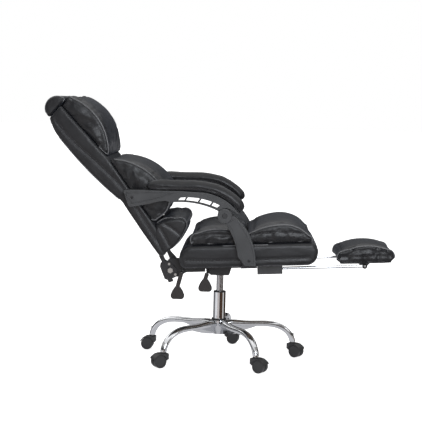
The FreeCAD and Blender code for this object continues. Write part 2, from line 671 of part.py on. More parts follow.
def arm_mount_brackets():
    """A steel foot under the seat on each side, its upright, and the stud that the link turns on."""
    inner = SEAT_HALF_WIDTH + BRACKET_GAP
    outer = inner + BRACKET_PLATE
    foot = tipped(block(BRACKET_REAR_X, BRACKET_FRONT_X, outer - BRACKET_FOOT_LENGTH, outer, -BRACKET_PLATE, 0.0))
    rear_z = seat_height_at(BRACKET_REAR_X, -BRACKET_PLATE)
    front_z = seat_height_at(BRACKET_FRONT_X, -BRACKET_PLATE)
    round_x = BRACKET_SHOULDER
    upright = plate([(BRACKET_REAR_X, rear_z), (BRACKET_FRONT_X, front_z), (LINK_PIVOT_X + round_x, LINK_PIVOT_Z),
                     (LINK_PIVOT_X, LINK_PIVOT_Z + round_x, LINK_PIVOT_X - round_x, LINK_PIVOT_Z)], inner, outer)
    stud = cross_pin(STUD_RADIUS, LINK_PIVOT_X, LINK_PIVOT_Z, outer, LINK_OUTER_Y - 9.0)
    return both_sides(fused([foot, upright, stud]))


# Backrest, drawn upright about the hinge

SHELL_FOOT_FRONT = (34.0, 72.0)
SHELL_STEP_LOW = (34.0, 136.0)
SHELL_STEP_HIGH = (56.0, 150.0)
CUSHION_FOOT = (56.0, 196.0)
PINCH = (44.0, 501.0)
HEAD_REAR_TOP = (0.0, 769.0)
CAP_FRONT = (33.0, 778.0)
SHELL_REAR_FOOT = (3.0, 82.0)
SHELL_REAR_TOP = (-64.0, 752.0)


def post_path():
    bottom = 8.0
    top = bottom + POST_DEPTH
    return [(-8.0, 40.0), (-5.0, 70.0), (bottom, 96.0), (bottom, POST_TOP), (top, POST_TOP), (top, 92.0),
            (10.0, 66.0), (6.0, 40.0)]


def back_post():
    body = plate(post_path(), POST_INNER_Y, POST_OUTER_Y)
    low = RAIL_OUTER_Y + RECLINER_PLATE + SIDE_PLAY
    return body.cut(plate([(-60.0, 0.0), (60.0, 0.0), (60.0, 46.0), (-60.0, 46.0)], low, low + RECLINER_PLATE))


def back_posts():
    return laid_back(both_sides(back_post()))


def back_board_block():
    """A plywood board let into the shell's front, from the waist to below the head pillow."""
    low = (CUSHION_FOOT[0], CUSHION_FOOT[1] + 6.0)
    high = (PINCH[0], PINCH[1] - 10.0)
    path = [low, high, (high[0] - BACK_BOARD_THICKNESS, high[1]), (low[0] - BACK_BOARD_THICKNESS, low[1])]
    return plate(path, -BACK_BOARD_HALF_WIDTH, BACK_BOARD_HALF_WIDTH)


def back_board():
    return laid_back(back_board_block())


def arm_pin_cut(radius):
    x, z = in_back_drawing(REAR_PIN_X, REAR_PIN_Z)
    return cross_pin(radius, x, z, BACK_BOARD_HALF_WIDTH + 1.0, REAR_PIN_END_Y)


def back_shell():
    """The padded rear shell with its side panels; its front edge is where the cushions join."""
    path = [SHELL_REAR_FOOT, (-2.0, 210.0, -3.0, 330.0), (-50.0, 503.0, -73.0, 655.0),
            (-75.0, 705.0) + SHELL_REAR_TOP, HEAD_REAR_TOP, PINCH, CUSHION_FOOT, SHELL_STEP_HIGH, SHELL_STEP_LOW,
            SHELL_FOOT_FRONT, (18.0, 68.0) + SHELL_REAR_FOOT]
    body = cushion(path, BACK_HALF_WIDTH, PANELLED, sloped_base((34.0, 72.0), (22.0, 770.0)), "z")
    body = body.cut(back_board_block())
    for side_post in (plate(post_path(), POST_INNER_Y, POST_OUTER_Y),
                      plate(post_path(), -POST_OUTER_Y, -POST_INNER_Y)):
        body = body.cut(side_post)
    pin = arm_pin_cut(REAR_PIN_RADIUS)
    return laid_back(body.cut(pin).cut(mirrored(pin)))


def arm_pins():
    return laid_back(both_sides(arm_pin_cut(REAR_PIN_RADIUS)))


def back_cap():
    """The roll along the top edge of the shell, lapping over the head pillow's top."""
    lift = 1.5
    path = [(SHELL_REAR_TOP[0], SHELL_REAR_TOP[1] + lift), (-30.0, 811.0, CAP_FRONT[0] - 3.0, CAP_FRONT[1] + lift),
            (HEAD_REAR_TOP[0], HEAD_REAR_TOP[1] + lift)]
    return laid_back(cushion(path, BACK_HALF_WIDTH - 6.0, BOXED,
                             sloped_base((-32.0, 752.0), (-32.0, 812.0)), "z"))


def head_pillow():
    path = [(HEAD_REAR_TOP[0] + 2.5, HEAD_REAR_TOP[1]), CAP_FRONT, (54.0, 784.0, 66.0, 767.0),
            (109.0, 650.0, PINCH[0] + 10.0, PINCH[1] + 8.0), (PINCH[0] + 2.0, PINCH[1] + 5.0)]
    base = sloped_base(PINCH, HEAD_REAR_TOP)
    return laid_back(cushion(path, HEAD_HALF_WIDTH, CROWNED, base, "z"))


def mid_cushion():
    path = [(PINCH[0] + 1.0, PINCH[1] - 3.0), (137.0, 421.0, 181.0, 312.0), (180.0, 240.0, 124.0, 203.0),
            (CUSHION_FOOT[0] + 1.0, CUSHION_FOOT[1] + 2.0)]
    body = cushion(path, CUSHION_HALF_WIDTH, CROWNED, sloped_base(CUSHION_FOOT, PINCH), "z")
    pin = arm_pin_cut(REAR_PIN_RADIUS)
    return laid_back(body.cut(pin).cut(mirrored(pin)))


def lumbar_roll():
    """The roll across the small of the back; it is squeezed against the seat when the back comes up."""
    gap = 5.0 * SOFT_GAP
    foot = (SHELL_FOOT_FRONT[0] + gap + 0.5, SHELL_FOOT_FRONT[1] + gap)
    path = [foot, (SHELL_STEP_LOW[0] + gap, SHELL_STEP_LOW[1] - gap),
            (SHELL_STEP_HIGH[0] + gap, SHELL_STEP_HIGH[1] - gap), (CUSHION_FOOT[0] + gap, CUSHION_FOOT[1] - 10.0),
            (110.0, 187.0, 147.0, 164.0), (175.0, 134.0, 152.0, 108.0), (100.0, 82.0) + foot]
    base = sloped_base(foot, (foot[0], CUSHION_FOOT[1]))
    return laid_back(cushion(path, CUSHION_HALF_WIDTH - 6.0, ROLLED, base, "z"))


# Armrests, drawn in place on the sitter's left and mirrored for the right

def arm_frame():
    """The plastic frame: rear end plate, top band, curved ladder below it, knuckle lug."""
    x, z = ARM_PIVOT_X, ARM_PIVOT_Z
    path = [(-369.0, 688.0), (-362.0, 694.0), (-160.0, 694.5), (-67.0, 691.0), (18.0, 663.0, 73.0, 613.0),
            (64.0, 612.0), (x + 22.0, z + 24.0), (x, z + KNUCKLE_RADIUS + 2.0), (x - 26.0, z + 18.0),
            (-84.0, 646.5, -160.0, 652.0), (-190.0, 650.0), (-206.0, 655.0), (-236.0, 652.0), (-270.0, 642.0),
            (-334.0, 630.0), (-346.0, 631.0, -352.0, 640.0)]
    body = plate(path, ARM_INNER_Y, ARM_OUTER_Y)
    body = rounded(body, 2.0, lambda edge: lies_at_y(edge, ARM_OUTER_Y))
    body = body.cut(ladder_gap())
    recess = plate([(-358.0, 670.0), (-360.0, 683.0), (-294.0, 686.0), (-170.0, 687.0), (-205.0, 676.0),
                    (-246.0, 662.0), (-293.0, 651.0), (-337.0, 641.0)], ARM_OUTER_Y - RECESS_DEPTH, ARM_OUTER_Y + 1.0)
    body = body.cut(recess)
    lug = cross_pin(KNUCKLE_RADIUS - 1.0, x, z, ARM_INNER_Y, KNUCKLE_SPLIT_Y - SIDE_PLAY)
    web = plate([(x - 26.0, z + 10.0), (x - 26.0, z + 18.0), (x, z + KNUCKLE_RADIUS + 4.0),
                 (x + 22.0, z + 28.0), (x + 14.0, z)], ARM_INNER_Y, KNUCKLE_SPLIT_Y - SIDE_PLAY)
    body = fused([body, lug, web])
    room = cross_pin(KNUCKLE_RADIUS + SOFT_GAP, x, z, KNUCKLE_SPLIT_Y - SIDE_PLAY, ARM_OUTER_Y + 5.0)
    body = body.cut(room)
    body = body.cut(cross_pin(LINK_PIN_RADIUS + RUNNING_FIT, x, z, ARM_INNER_Y - 1.0, ARM_OUTER_Y + 1.0))
    pocket = block(REAR_PIN_X - REAR_POCKET_BACK, REAR_PIN_X + REAR_POCKET_FRONT, ARM_INNER_Y - 1.0,
                   ARM_INNER_Y + REAR_POCKET_DEPTH, REAR_PIN_Z - REAR_POCKET_DOWN, REAR_PIN_Z + REAR_POCKET_UP)
    return body.cut(pocket)


def ladder_gap():
    """The curved opening between the band and the thin lower rail, less the slanted rungs."""
    gap = plate([(-162.0, 657.0), (-151.0, 669.0), (-84.0, 668.5, 0.0, 642.5), (-13.0, 632.0),
                 (-84.0, 652.0, -162.0, 657.0)], ARM_INNER_Y - 1.0, ARM_OUTER_Y + 1.0)
    half = RUNG_WIDTH / 2.0
    for foot_x, foot_z, top_x, top_z in ((-139.0, 650.0, -124.0, 676.0), (-89.0, 644.0, -70.0, 674.0),
                                         (-43.0, 632.0, -22.0, 664.0)):
        rung = plate([(foot_x - half, foot_z), (foot_x + half, foot_z), (top_x + half, top_z), (top_x - half, top_z)],
                     ARM_INNER_Y - 2.0, ARM_OUTER_Y + 2.0)
        gap = gap.cut(rung)
    return gap


def pad_section(x, z, lean_deg, length_share):
    """The armrest pad's section, square to its run: flat below, crowned above."""
    half = (ARM_PAD_OUTER_Y - ARM_PAD_INNER_Y) / 2.0 * length_share
    height = ARM_PAD_HEIGHT * length_share
    centre = (ARM_PAD_OUTER_Y + ARM_PAD_INNER_Y) / 2.0

    def at(across, up):
        return FreeCAD.Vector(0, centre + across, up)

    corners = [Part.LineSegment(at(half - 4, 0), at(-half + 4, 0)).toShape(),
               Part.Arc(at(-half + 4, 0), at(-half, 0.4 * height), at(-half + 6, 0.8 * height)).toShape(),
               Part.Arc(at(-half + 6, 0.8 * height), at(0, height), at(half - 6, 0.8 * height)).toShape(),
               Part.Arc(at(half - 6, 0.8 * height), at(half, 0.4 * height), at(half - 4, 0)).toShape()]
    wire = Part.Wire(corners)
    wire.rotate(FreeCAD.Vector(0, 0, 0), FreeCAD.Vector(0, 1, 0), lean_deg)
    wire.translate(point(x, z))
    return wire


def arm_pad():
    """The upholstered pad that follows the frame's top edge and droops over its front end."""
    stations = ((-276.0, 695.2, -14.0, 0.66), (-262.0, 695.2, -4.0, 0.92), (-200.0, 695.2, 0.0, 1.0),
                (-115.0, 694.6, 1.5, 1.0), (-62.0, 692.4, 8.0, 1.0), (-8.0, 678.4, 24.0, 1.0),
                (38.0, 651.4, 38.0, 1.0), (66.0, 623.6, 50.0, 0.90), (72.0, 614.4, 54.0, 0.62))
    return Part.makeLoft([pad_section(*station) for station in stations], True, False)


def arm_link():
    """The curved blade from the stud on the seat up to the knuckle disc."""
    x, z = ARM_PIVOT_X, ARM_PIVOT_Z
    foot_x, foot_z = LINK_PIVOT_X, LINK_PIVOT_Z
    path = [(x + 3.0, z - KNUCKLE_RADIUS - 2.0), (52.0, 519.0, foot_x - 43.0, foot_z + 16.0),
            (foot_x - 16.0, foot_z - 19.0), (foot_x + 27.0, foot_z - 19.0), (foot_x + 25.0, foot_z + 12.0),
            (foot_x + 5.0, foot_z + 88.0, x + 36.0, z + 1.0), (x + 30.0, z + 3.0)]
    blade = plate(path, ARM_INNER_Y, LINK_OUTER_Y - 3.0)
    blade = rounded(blade, 2.5, lambda edge: lies_at_y(edge, LINK_OUTER_Y - 3.0))
    blade = blade.cut(cross_pin(KNUCKLE_RADIUS + SOFT_GAP, x, z, ARM_INNER_Y - 1.0, KNUCKLE_SPLIT_Y))
    disc = cross_pin(KNUCKLE_RADIUS, x, z, KNUCKLE_SPLIT_Y, LINK_OUTER_Y)
    disc = rounded(disc, 2.0, lambda edge: lies_at_y(edge, LINK_OUTER_Y))
    body = fused([blade, disc])
    body = body.cut(cross_pin(LINK_PIN_RADIUS, x, z, ARM_INNER_Y - 1.0, LINK_OUTER_Y + 1.0))
    return body.cut(cross_pin(STUD_RADIUS + RUNNING_FIT, foot_x, foot_z, ARM_INNER_Y - 1.0, LINK_OUTER_Y - 8.0))


def knuckle_pin():
    """The pivot pin of the knuckle, with its small domed head."""
    x, z = ARM_PIVOT_X, ARM_PIVOT_Z
    shank = cross_pin(LINK_PIN_RADIUS, x, z, ARM_INNER_Y + 2.0, LINK_OUTER_Y)
    head = cross_pin(LINK_PIN_RADIUS + 4.0, x, z, LINK_OUTER_Y, LINK_OUTER_Y + 3.0)
    head = rounded(head, 1.5, lambda edge: lies_at_y(edge, LINK_OUTER_Y + 3.0))
    return fused([shank, head])


# Footrest, drawn level in the seat drawing with the rods pulled out

def footrest_guides():
    body = block(GUIDE_REAR_X, GUIDE_FRONT_X, GUIDE_INNER_Y, GUIDE_OUTER_Y, -GUIDE_DEPTH, 0.0)
    hole = Part.makeCylinder(ROD_RADIUS + RUNNING_FIT, GUIDE_FRONT_X - GUIDE_REAR_X + 2.0,
                             FreeCAD.Vector(GUIDE_REAR_X - 1.0, ROD_CENTRE_Y, -ROD_DROP), FreeCAD.Vector(1, 0, 0))
    return tipped(both_sides(body.cut(hole)))


def footrest_rod():
    """A chrome rod whose front end is an eye for the pad's axle."""
    rod = Part.makeCylinder(ROD_RADIUS, PAD_PIVOT_X - ROD_REAR_X,
                            FreeCAD.Vector(ROD_REAR_X, ROD_CENTRE_Y, -ROD_DROP), FreeCAD.Vector(1, 0, 0))
    half = ROD_EYE_WIDTH / 2.0
    eye = cross_pin(ROD_EYE_RADIUS, PAD_PIVOT_X, -ROD_DROP, ROD_CENTRE_Y - half, ROD_CENTRE_Y + half)
    return fused([rod, eye]).cut(cross_pin(PAD_AXLE_RADIUS, PAD_PIVOT_X, -ROD_DROP, 100.0, 200.0))


def footrest_rods():
    return tipped(both_sides(footrest_rod()))


def footrest_axle():
    reach = ROD_CENTRE_Y + ROD_EYE_WIDTH / 2.0
    return tipped(cross_pin(PAD_AXLE_RADIUS, PAD_PIVOT_X, -ROD_DROP, -reach, reach))


def footrest_board_block():
    low = -ROD_DROP + PAD_LIFT
    return block(PAD_PIVOT_X - PAD_REAR + PAD_BOARD_MARGIN, PAD_PIVOT_X + PAD_FRONT - PAD_BOARD_MARGIN,
                 -PAD_HALF_WIDTH + PAD_BOARD_MARGIN / 2.0, PAD_HALF_WIDTH - PAD_BOARD_MARGIN / 2.0,
                 low, low + PAD_BOARD_THICKNESS)


def footrest_board():
    return tipped(footrest_board_block())


def footrest_pad():
    low = -ROD_DROP + PAD_LIFT
    rear = PAD_PIVOT_X - PAD_REAR
    front = PAD_PIVOT_X + PAD_FRONT
    path = [(rear + 12.0, low), (front - 14.0, low), (front + 4.0, low + 26.0, front - 22.0, low + 58.0),
            (PAD_PIVOT_X + 14.0, low + PAD_CROWN, rear + 26.0, low + 56.0),
            (rear - 2.0, low + 30.0, rear + 12.0, low)]
    body = cushion(path, PAD_HALF_WIDTH, ROLLED, flat_base(low), "x")
    return tipped(body.cut(footrest_board_block()))


def footrest_brackets():
    """Two ears under the board, round the axle."""
    low = -ROD_DROP + PAD_LIFT
    ear = plate([(PAD_PIVOT_X - 22.0, low), (PAD_PIVOT_X + 22.0, low), (PAD_PIVOT_X + 9.0, -ROD_DROP - 6.0),
                 (PAD_PIVOT_X, -ROD_DROP - 10.0, PAD_PIVOT_X - 9.0, -ROD_DROP - 6.0)],
                PAD_BRACKET_Y, PAD_BRACKET_Y + BRACKET_PLATE)
    ear = ear.cut(cross_pin(PAD_AXLE_RADIUS + RUNNING_FIT, PAD_PIVOT_X, -ROD_DROP, 100.0, 200.0))
    return tipped(both_sides(ear))


# The whole chair, node by node

SINGLE_NODES = {
    "star_base": star_base,
    "outer_column": outer_column,
    "column_collars": column_collars,
    "lift_guide_bush": lift_guide_bush,
    "lift_piston_rod": lift_piston_rod,
    "lift_thrust_bearing": lift_thrust_bearing,
    "lift_cylinder": lift_cylinder,
    "mechanism_housing": mechanism_housing,
    "seat_frame": seat_frame,
    "recliner_seat_plates": recliner_seat_plates,
    "recliner_bolts": recliner_bolts,
    "recliner_back_plates": recliner_back_plates,
    "recline_lever_rod": recline_lever_rod,
    "recline_lever_paddle": recline_lever_paddle,
    "height_lever_rod": height_lever_rod,
    "height_lever_paddle": height_lever_paddle,
    "seat_board": seat_board,
    "seat_body": seat_body,
    "seat_rear_pillow": seat_rear_pillow,
    "seat_front_pillow": seat_front_pillow,
    "arm_mount_brackets": arm_mount_brackets,
    "back_posts": back_posts,
    "back_board": back_board,
    "back_shell": back_shell,
    "back_cap": back_cap,
    "head_pillow": head_pillow,
    "mid_cushion": mid_cushion,
    "lumbar_roll": lumbar_roll,
    "arm_pins": arm_pins,
    "footrest_guides": footrest_guides,
    "footrest_rods": footrest_rods,
    "footrest_axle": footrest_axle,
    "footrest_board": footrest_board,
    "footrest_pad": footrest_pad,
    "footrest_brackets": footrest_brackets,
}

SIDED_NODES = {
    "arm_frame": arm_frame,
    "arm_pad": arm_pad,
    "arm_link": arm_link,
    "knuckle_pin": knuckle_pin,
}


def save(name, shape):
    shape.exportStep(os.path.join("parts", name + ".step"))
    state = "valid" if shape.isValid() else "NOT VALID"
    print(name, len(shape.Solids), state, round(shape.Volume / 1000.0, 1), "cm3")


def main():
    os.makedirs("parts", exist_ok=True)
    for name, maker in SINGLE_NODES.items():
        save(name, maker())
    for name, maker in SIDED_NODES.items():
        shape = maker()
        save("left_" + name, shape)
        save("right_" + name, mirrored(shape))
    housing = caster_housing()
    stem = caster_stem_axle()
    wheel_pair = both_sides(caster_wheel())
    for k in range(LEG_COUNT):
        save("caster_%d_housing" % (k + 1), placed_caster(housing, k))
        save("caster_%d_stem_axle" % (k + 1), placed_caster(stem, k))
        save("caster_%d_wheels" % (k + 1), placed_caster(wheel_pair, k))


main()
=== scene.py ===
"""Looks of the reclining office chair: upholstery, finishes, studio light and camera.

Every piece is in metres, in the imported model's own frame.
"""
import json
import logging
import math
from dataclasses import dataclass, field
from enum import Enum
from typing import Iterable, List, Optional, Sequence, Tuple

import bmesh
import bpy
import numpy as np
from mathutils import Matrix, Vector, kdtree
from mathutils.bvhtree import BVHTree


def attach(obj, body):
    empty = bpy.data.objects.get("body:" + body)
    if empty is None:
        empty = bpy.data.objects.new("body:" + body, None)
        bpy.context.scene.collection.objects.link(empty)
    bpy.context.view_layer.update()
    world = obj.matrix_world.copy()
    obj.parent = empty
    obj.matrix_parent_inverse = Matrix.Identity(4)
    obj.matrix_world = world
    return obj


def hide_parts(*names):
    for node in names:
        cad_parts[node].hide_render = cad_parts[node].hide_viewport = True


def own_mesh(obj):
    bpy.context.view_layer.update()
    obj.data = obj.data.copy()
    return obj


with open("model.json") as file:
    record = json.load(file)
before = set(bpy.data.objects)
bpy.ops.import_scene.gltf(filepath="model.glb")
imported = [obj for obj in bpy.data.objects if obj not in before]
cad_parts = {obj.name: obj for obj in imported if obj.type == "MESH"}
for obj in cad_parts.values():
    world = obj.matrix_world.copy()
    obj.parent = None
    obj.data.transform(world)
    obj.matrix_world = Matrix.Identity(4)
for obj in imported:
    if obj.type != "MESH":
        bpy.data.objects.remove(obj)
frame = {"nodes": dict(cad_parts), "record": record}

log = logging.getLogger("chair")
MM = 0.001
Colour = Tuple[float, float, float]
Point = Tuple[float, float]
Place = Tuple[float, float, float]
Face = Tuple[int, ...]
Socket = bpy.types.NodeSocket


# Places

@dataclass(frozen=True)
class Tilt:
    """A drawing plane that is turned about +Y, such as the seat's or the backrest's.

    Args:
        x: where the drawing's origin lies along +X, in metres.
        z: where the drawing's origin lies along +Z, in metres.
        degrees: how far the drawing is laid back.
    """

    x: float
    z: float
    degrees: float

    def turn(self) -> Tuple[float, float]:
        """Returns the cosine and the sine of the tilt."""
        angle = math.radians(self.degrees)
        return math.cos(angle), math.sin(angle)

    def place(self, x: float, y: float, z: float) -> Vector:
        """Args are millimetres in the drawing. Returns the point in the chair's frame."""
        c, s = self.turn()
        return Vector((self.x + (x * c - z * s) * MM, y * MM, self.z + (x * s + z * c) * MM))

    def read(self, points: np.ndarray) -> np.ndarray:
        """Args are points in the chair's frame. Returns them in the drawing, in millimetres."""
        c, s = self.turn()
        dx = points[:, 0] - self.x
        dz = points[:, 2] - self.z
        return np.stack([dx * c + dz * s, points[:, 1], dz * c - dx * s], axis=1) / MM

    def direction(self, x: float, z: float) -> Vector:
        """Returns a direction of the drawing in the chair's frame."""
        c, s = self.turn()
        return Vector((x * c - z * s, 0.0, x * s + z * c))


LEVEL = Tilt(0.0, 0.0, 0.0)
SEAT = Tilt(0.0, 0.399, 3.0)
BACK = Tilt(-0.193, 0.370, 34.0)


# Finishes

class Nodes:
    """A short way to write a material's node tree."""

    def __init__(self, name: str) -> None:
        """Starts a material whose nodes read places in the chair's frame."""
        self.material = bpy.data.materials.new(name)
        self.material.use_nodes = True
        self.tree = self.material.node_tree
        self.shader = self.tree.nodes["Principled BSDF"]
        self.place = self.add("ShaderNodeTexCoord").outputs["Object"]

    def add(self, kind: str, **values: object) -> bpy.types.Node:
        """Adds a node and sets its sockets by name, with _ for a space.

        Args:
            kind: Blender's name of the node type.
            values: numbers for sockets, or names of node properties.

        Returns:
            The node.
        """
        node = self.tree.nodes.new(kind)
        for key, value in values.items():
            socket = node.inputs.get(key.replace("_", " "))
            if socket is not None:
                socket.default_value = value
            else:
                setattr(node, key, value)
        return node

    def join(self, source: Socket, target: Socket) -> None:
        """Links one socket to another."""
        self.tree.links.new(source, target)

    def noise(self, scale: float, detail: float = 2.0, roughness: float = 0.5) -> Socket:
        """Returns smooth noise of the given scale."""
        node = self.add("ShaderNodeTexNoise", Scale=scale, Detail=detail, Roughness=roughness)
        self.join(self.place, node.inputs["Vector"])
        return node.outputs["Fac"]

    def cells(self, scale: float) -> Socket:
        """Returns the distance to the edges of a pebble pattern."""
        node = self.add("ShaderNodeTexVoronoi", feature="DISTANCE_TO_EDGE", Scale=scale)
        self.join(self.place, node.inputs["Vector"])
        return node.outputs["Distance"]

    def colour(self, source: Socket, low: float, high: float, first: Colour, last: Colour) -> None:
        """Gives the shader a colour that runs from first at low to last at high.

        Args:
            source: what the colour follows.
            low: the source's value where first ends.
            high: the source's value where last starts.
            first: one colour.
            last: the other colour.
        """
        node = self.add("ShaderNodeValToRGB")
        node.color_ramp.elements[0].position = low
        node.color_ramp.elements[1].position = high
        node.color_ramp.elements[0].color = (*first, 1.0)
        node.color_ramp.elements[1].color = (*last, 1.0)
        self.join(source, node.inputs["Fac"])
        self.join(node.outputs["Color"], self.shader.inputs["Base Color"])

    def roughness(self, source: Socket, ends: Point) -> None:
        """Gives the shader a roughness between the ends, as the source runs from 0.3 to 0.7."""
        node = self.add("ShaderNodeMapRange", From_Min=0.3, From_Max=0.7, To_Min=ends[0],
                        To_Max=ends[1])
        self.join(source, node.inputs["Value"])
        self.join(node.outputs["Result"], self.shader.inputs["Roughness"])

    def bump(self, layers: Sequence[Tuple[Socket, float, float]]) -> None:
        """Stacks bump layers onto the shader's normal.

        Args:
            layers: height, strength and distance in metres of each layer.
        """
        last = None
        for height, strength, distance in layers:
            node = self.add("ShaderNodeBump", Strength=strength, Distance=distance)
            self.join(height, node.inputs["Height"])
            if last is not None:
                self.join(last, node.inputs["Normal"])
            last = node.outputs["Normal"]
        self.join(last, self.shader.inputs["Normal"])

    def set(self, **values: object) -> None:
        """Sets the shader's own sockets by name, with _ for a space."""
        for key, value in values.items():
            self.shader.inputs[key.replace("_", " ")].default_value = value


@dataclass(frozen=True)
class Leather:
    """Soft imitation leather with a fine pebble grain."""

    name: str = "black_leather"
    # Near-black leather tone that varies at random; the slight blue tint of both colours is a painted
    # sheen.
    dark: Colour = (0.0075, 0.0076, 0.0088)
    light: Colour = (0.0150, 0.0152, 0.0172)
    grain: float = 620.0
    roughness: Tuple[float, float] = (0.30, 0.43)
    sheen: float = 0.05

    def build(self) -> bpy.types.Material:
        """Returns the material."""
        nodes = Nodes(self.name)
        nodes.colour(nodes.noise(9.0, 5.0, 0.62), 0.30, 0.75, self.dark, self.light)
        nodes.roughness(nodes.noise(34.0, 4.0), self.roughness)
        nodes.bump([(nodes.noise(70.0, 5.0), 0.30, 0.0012), (nodes.cells(self.grain), 0.35, 0.0004),
                    (nodes.noise(1900.0, 2.0), 0.15, 0.0002)])
        nodes.set(Sheen_Weight=self.sheen, Sheen_Roughness=0.45, Sheen_Tint=(0.75, 0.82, 1.0, 1.0),
                  Specular_IOR_Level=0.42)
        return nodes.material


@dataclass(frozen=True)
class Plastic:
    """Moulded plastic with a fine spark-eroded texture."""

    name: str
    colour: Colour
    roughness: Tuple[float, float] = (0.34, 0.46)
    texture: float = 0.25
    coat: float = 0.0

    def build(self) -> bpy.types.Material:
        """Returns the material."""
        nodes = Nodes(self.name)
        lighter = tuple(min(1.0, part * 1.35) for part in self.colour)
        nodes.colour(nodes.noise(14.0, 4.0), 0.35, 0.7, self.colour, lighter)
        nodes.roughness(nodes.noise(60.0, 3.0), self.roughness)
        nodes.bump([(nodes.noise(1300.0, 2.0), self.texture, 0.0003),
                    (nodes.noise(25.0, 2.0), 0.04, 0.001)])
        nodes.set(Coat_Weight=self.coat, Coat_Roughness=0.06)
        return nodes.material


@dataclass(frozen=True)
class Metal:
    """Plated, painted or machined metal.

    Args:
        name: the material's name.
        colour: its base colour.
        metallic: 1 for bare or plated metal, 0 under paint.
        roughness: lowest and highest roughness.
        ripple: strength of the slight unevenness.
    """

    name: str
    colour: Colour
    metallic: float = 1.0
    roughness: Tuple[float, float] = (0.05, 0.11)
    ripple: float = 0.04

    def build(self) -> bpy.types.Material:
        """Returns the material."""
        nodes = Nodes(self.name)
        darker = tuple(part * 0.86 for part in self.colour)
        nodes.colour(nodes.noise(11.0, 4.0), 0.35, 0.7, darker, self.colour)
        nodes.roughness(nodes.noise(45.0, 5.0), self.roughness)
        nodes.bump([(nodes.noise(30.0, 2.0), self.ripple, 0.0006),
                    (nodes.noise(900.0, 2.0), self.ripple, 0.0001)])
        nodes.set(Metallic=self.metallic)
        return nodes.material


@dataclass(frozen=True)
class Plywood:
    """Raw board seen from below."""

    name: str = "plywood"
    dark: Colour = (0.060, 0.042, 0.028)
    light: Colour = (0.10, 0.07, 0.045)

    def build(self) -> bpy.types.Material:
        """Returns the material."""
        nodes = Nodes(self.name)
        grain = nodes.add("ShaderNodeTexWave", Scale=9.0, Distortion=6.0, Detail=3.0)
        nodes.join(nodes.place, grain.inputs["Vector"])
        nodes.colour(grain.outputs["Fac"], 0.2, 0.9, self.dark, self.light)
        nodes.bump([(grain.outputs["Fac"], 0.2, 0.0005)])
        nodes.set(Roughness=0.7)
        return nodes.material


class Look(Enum):
    """Every finish on the chair, by the record's material slot."""

    LEATHER = Leather()
    # The piping cord's grey colour is a painted highlight: the real cord is the same black leather as
    # the cover.
    PIPING_HIGHLIGHT = Leather("piping_painted_highlight", (0.085, 0.085, 0.088), (0.14, 0.14, 0.145), 900.0,
                     (0.24, 0.34), 0.15)
    THREAD = Plastic("thread", (0.10, 0.10, 0.105), (0.6, 0.7), 0.2)
    ARM = Plastic("dark_plastic", (0.030, 0.031, 0.033), (0.34, 0.44), 0.30)
    CASTER = Plastic("caster_plastic", (0.021, 0.021, 0.022), (0.42, 0.55), 0.25)
    RING = Plastic("ring_plastic", (0.012, 0.012, 0.013), (0.4, 0.5), 0.2)
    BUSH = Plastic("bush_plastic", (0.6, 0.6, 0.56), (0.4, 0.5), 0.2)
    GLOSS = Plastic("gloss_black", (0.008, 0.008, 0.009), (0.10, 0.18), 0.05, 0.6)
    CHROME = Metal("polished_chrome", (0.80, 0.81, 0.83))
    LIFT = Metal("lift_grey", (0.52, 0.52, 0.53), 1.0, (0.22, 0.34), 0.06)
    STEEL = Metal("black_steel", (0.018, 0.018, 0.020), 0.0, (0.35, 0.50), 0.25)
    ZINC = Metal("zinc_steel", (0.62, 0.62, 0.60), 1.0, (0.24, 0.36), 0.10)
    PLYWOOD = Plywood()

    def material(self) -> bpy.types.Material:
        """Returns the finish's material, made on first use."""
        found = bpy.data.materials.get(self.value.name + "_look")
        if found is None:
            found = self.value.build()
            found.name = self.value.name + "_look"
        return found


SLOT_LOOKS = {
    "polished_chrome": Look.CHROME, "lift_grey": Look.LIFT, "black_steel": Look.STEEL,
    "zinc_steel": Look.ZINC, "dark_plastic": Look.ARM, "caster_plastic": Look.CASTER,
    "ring_plastic": Look.RING, "bush_plastic": Look.BUSH, "gloss_black": Look.GLOSS,
    "black_leather": Look.LEATHER, "plywood": Look.PLYWOOD,
}


# Mesh helpers

def linked(name: str, data: Optional[bpy.types.ID]) -> bpy.types.Object:
    """Returns a new object with the data, linked to the scene."""
    obj = bpy.data.objects.new(name, data)
    bpy.context.scene.collection.objects.link(obj)
    return obj


def final_mesh(obj: bpy.types.Object, name: str) -> bpy.types.Mesh:
    """Returns the object's shape with its modifiers as a new mesh, and removes the object."""
    bpy.context.view_layer.update()
    shape = obj.evaluated_get(bpy.context.evaluated_depsgraph_get())
    mesh = bpy.data.meshes.new_from_object(shape)
    mesh.name = name
    bpy.data.objects.remove(obj)
    return mesh


def shown(name: str, mesh: bpy.types.Mesh, body: str, look: Look) -> bpy.types.Object:
    """Adds a piece to the scene.

    Args:
        name: the piece's name.
        mesh: its mesh.
        body: the CAD body that it rides on.
        look: its finish.

    Returns:
        The object.
    """
    obj = linked(name, mesh)
    mesh.materials.clear()
    mesh.materials.append(look.material())
    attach(obj, body)
    return obj


def coordinates(mesh: bpy.types.Mesh) -> np.ndarray:
    """Returns the mesh's vertices as an array."""
    flat = np.empty(len(mesh.vertices) * 3)
    mesh.vertices.foreach_get("co", flat)
    return flat.reshape(-1, 3)


def set_coordinates(mesh: bpy.types.Mesh, points: np.ndarray) -> None:
    """Moves the mesh's vertices to the points."""
    mesh.vertices.foreach_set("co", np.ascontiguousarray(points, dtype=np.float32).ravel())
    mesh.update()


def normals(mesh: bpy.types.Mesh) -> np.ndarray:
    """Returns the mesh's vertex normals as an array."""
    flat = np.empty(len(mesh.vertices) * 3, dtype=np.float32)
    mesh.vertex_normals.foreach_get("vector", flat)
    return flat.reshape(-1, 3).astype(float)


def smooth_faces(mesh: bpy.types.Mesh) -> None:
    """Shades the mesh's faces smooth."""
    mesh.polygons.foreach_set("use_smooth", np.ones(len(mesh.polygons), dtype=bool))


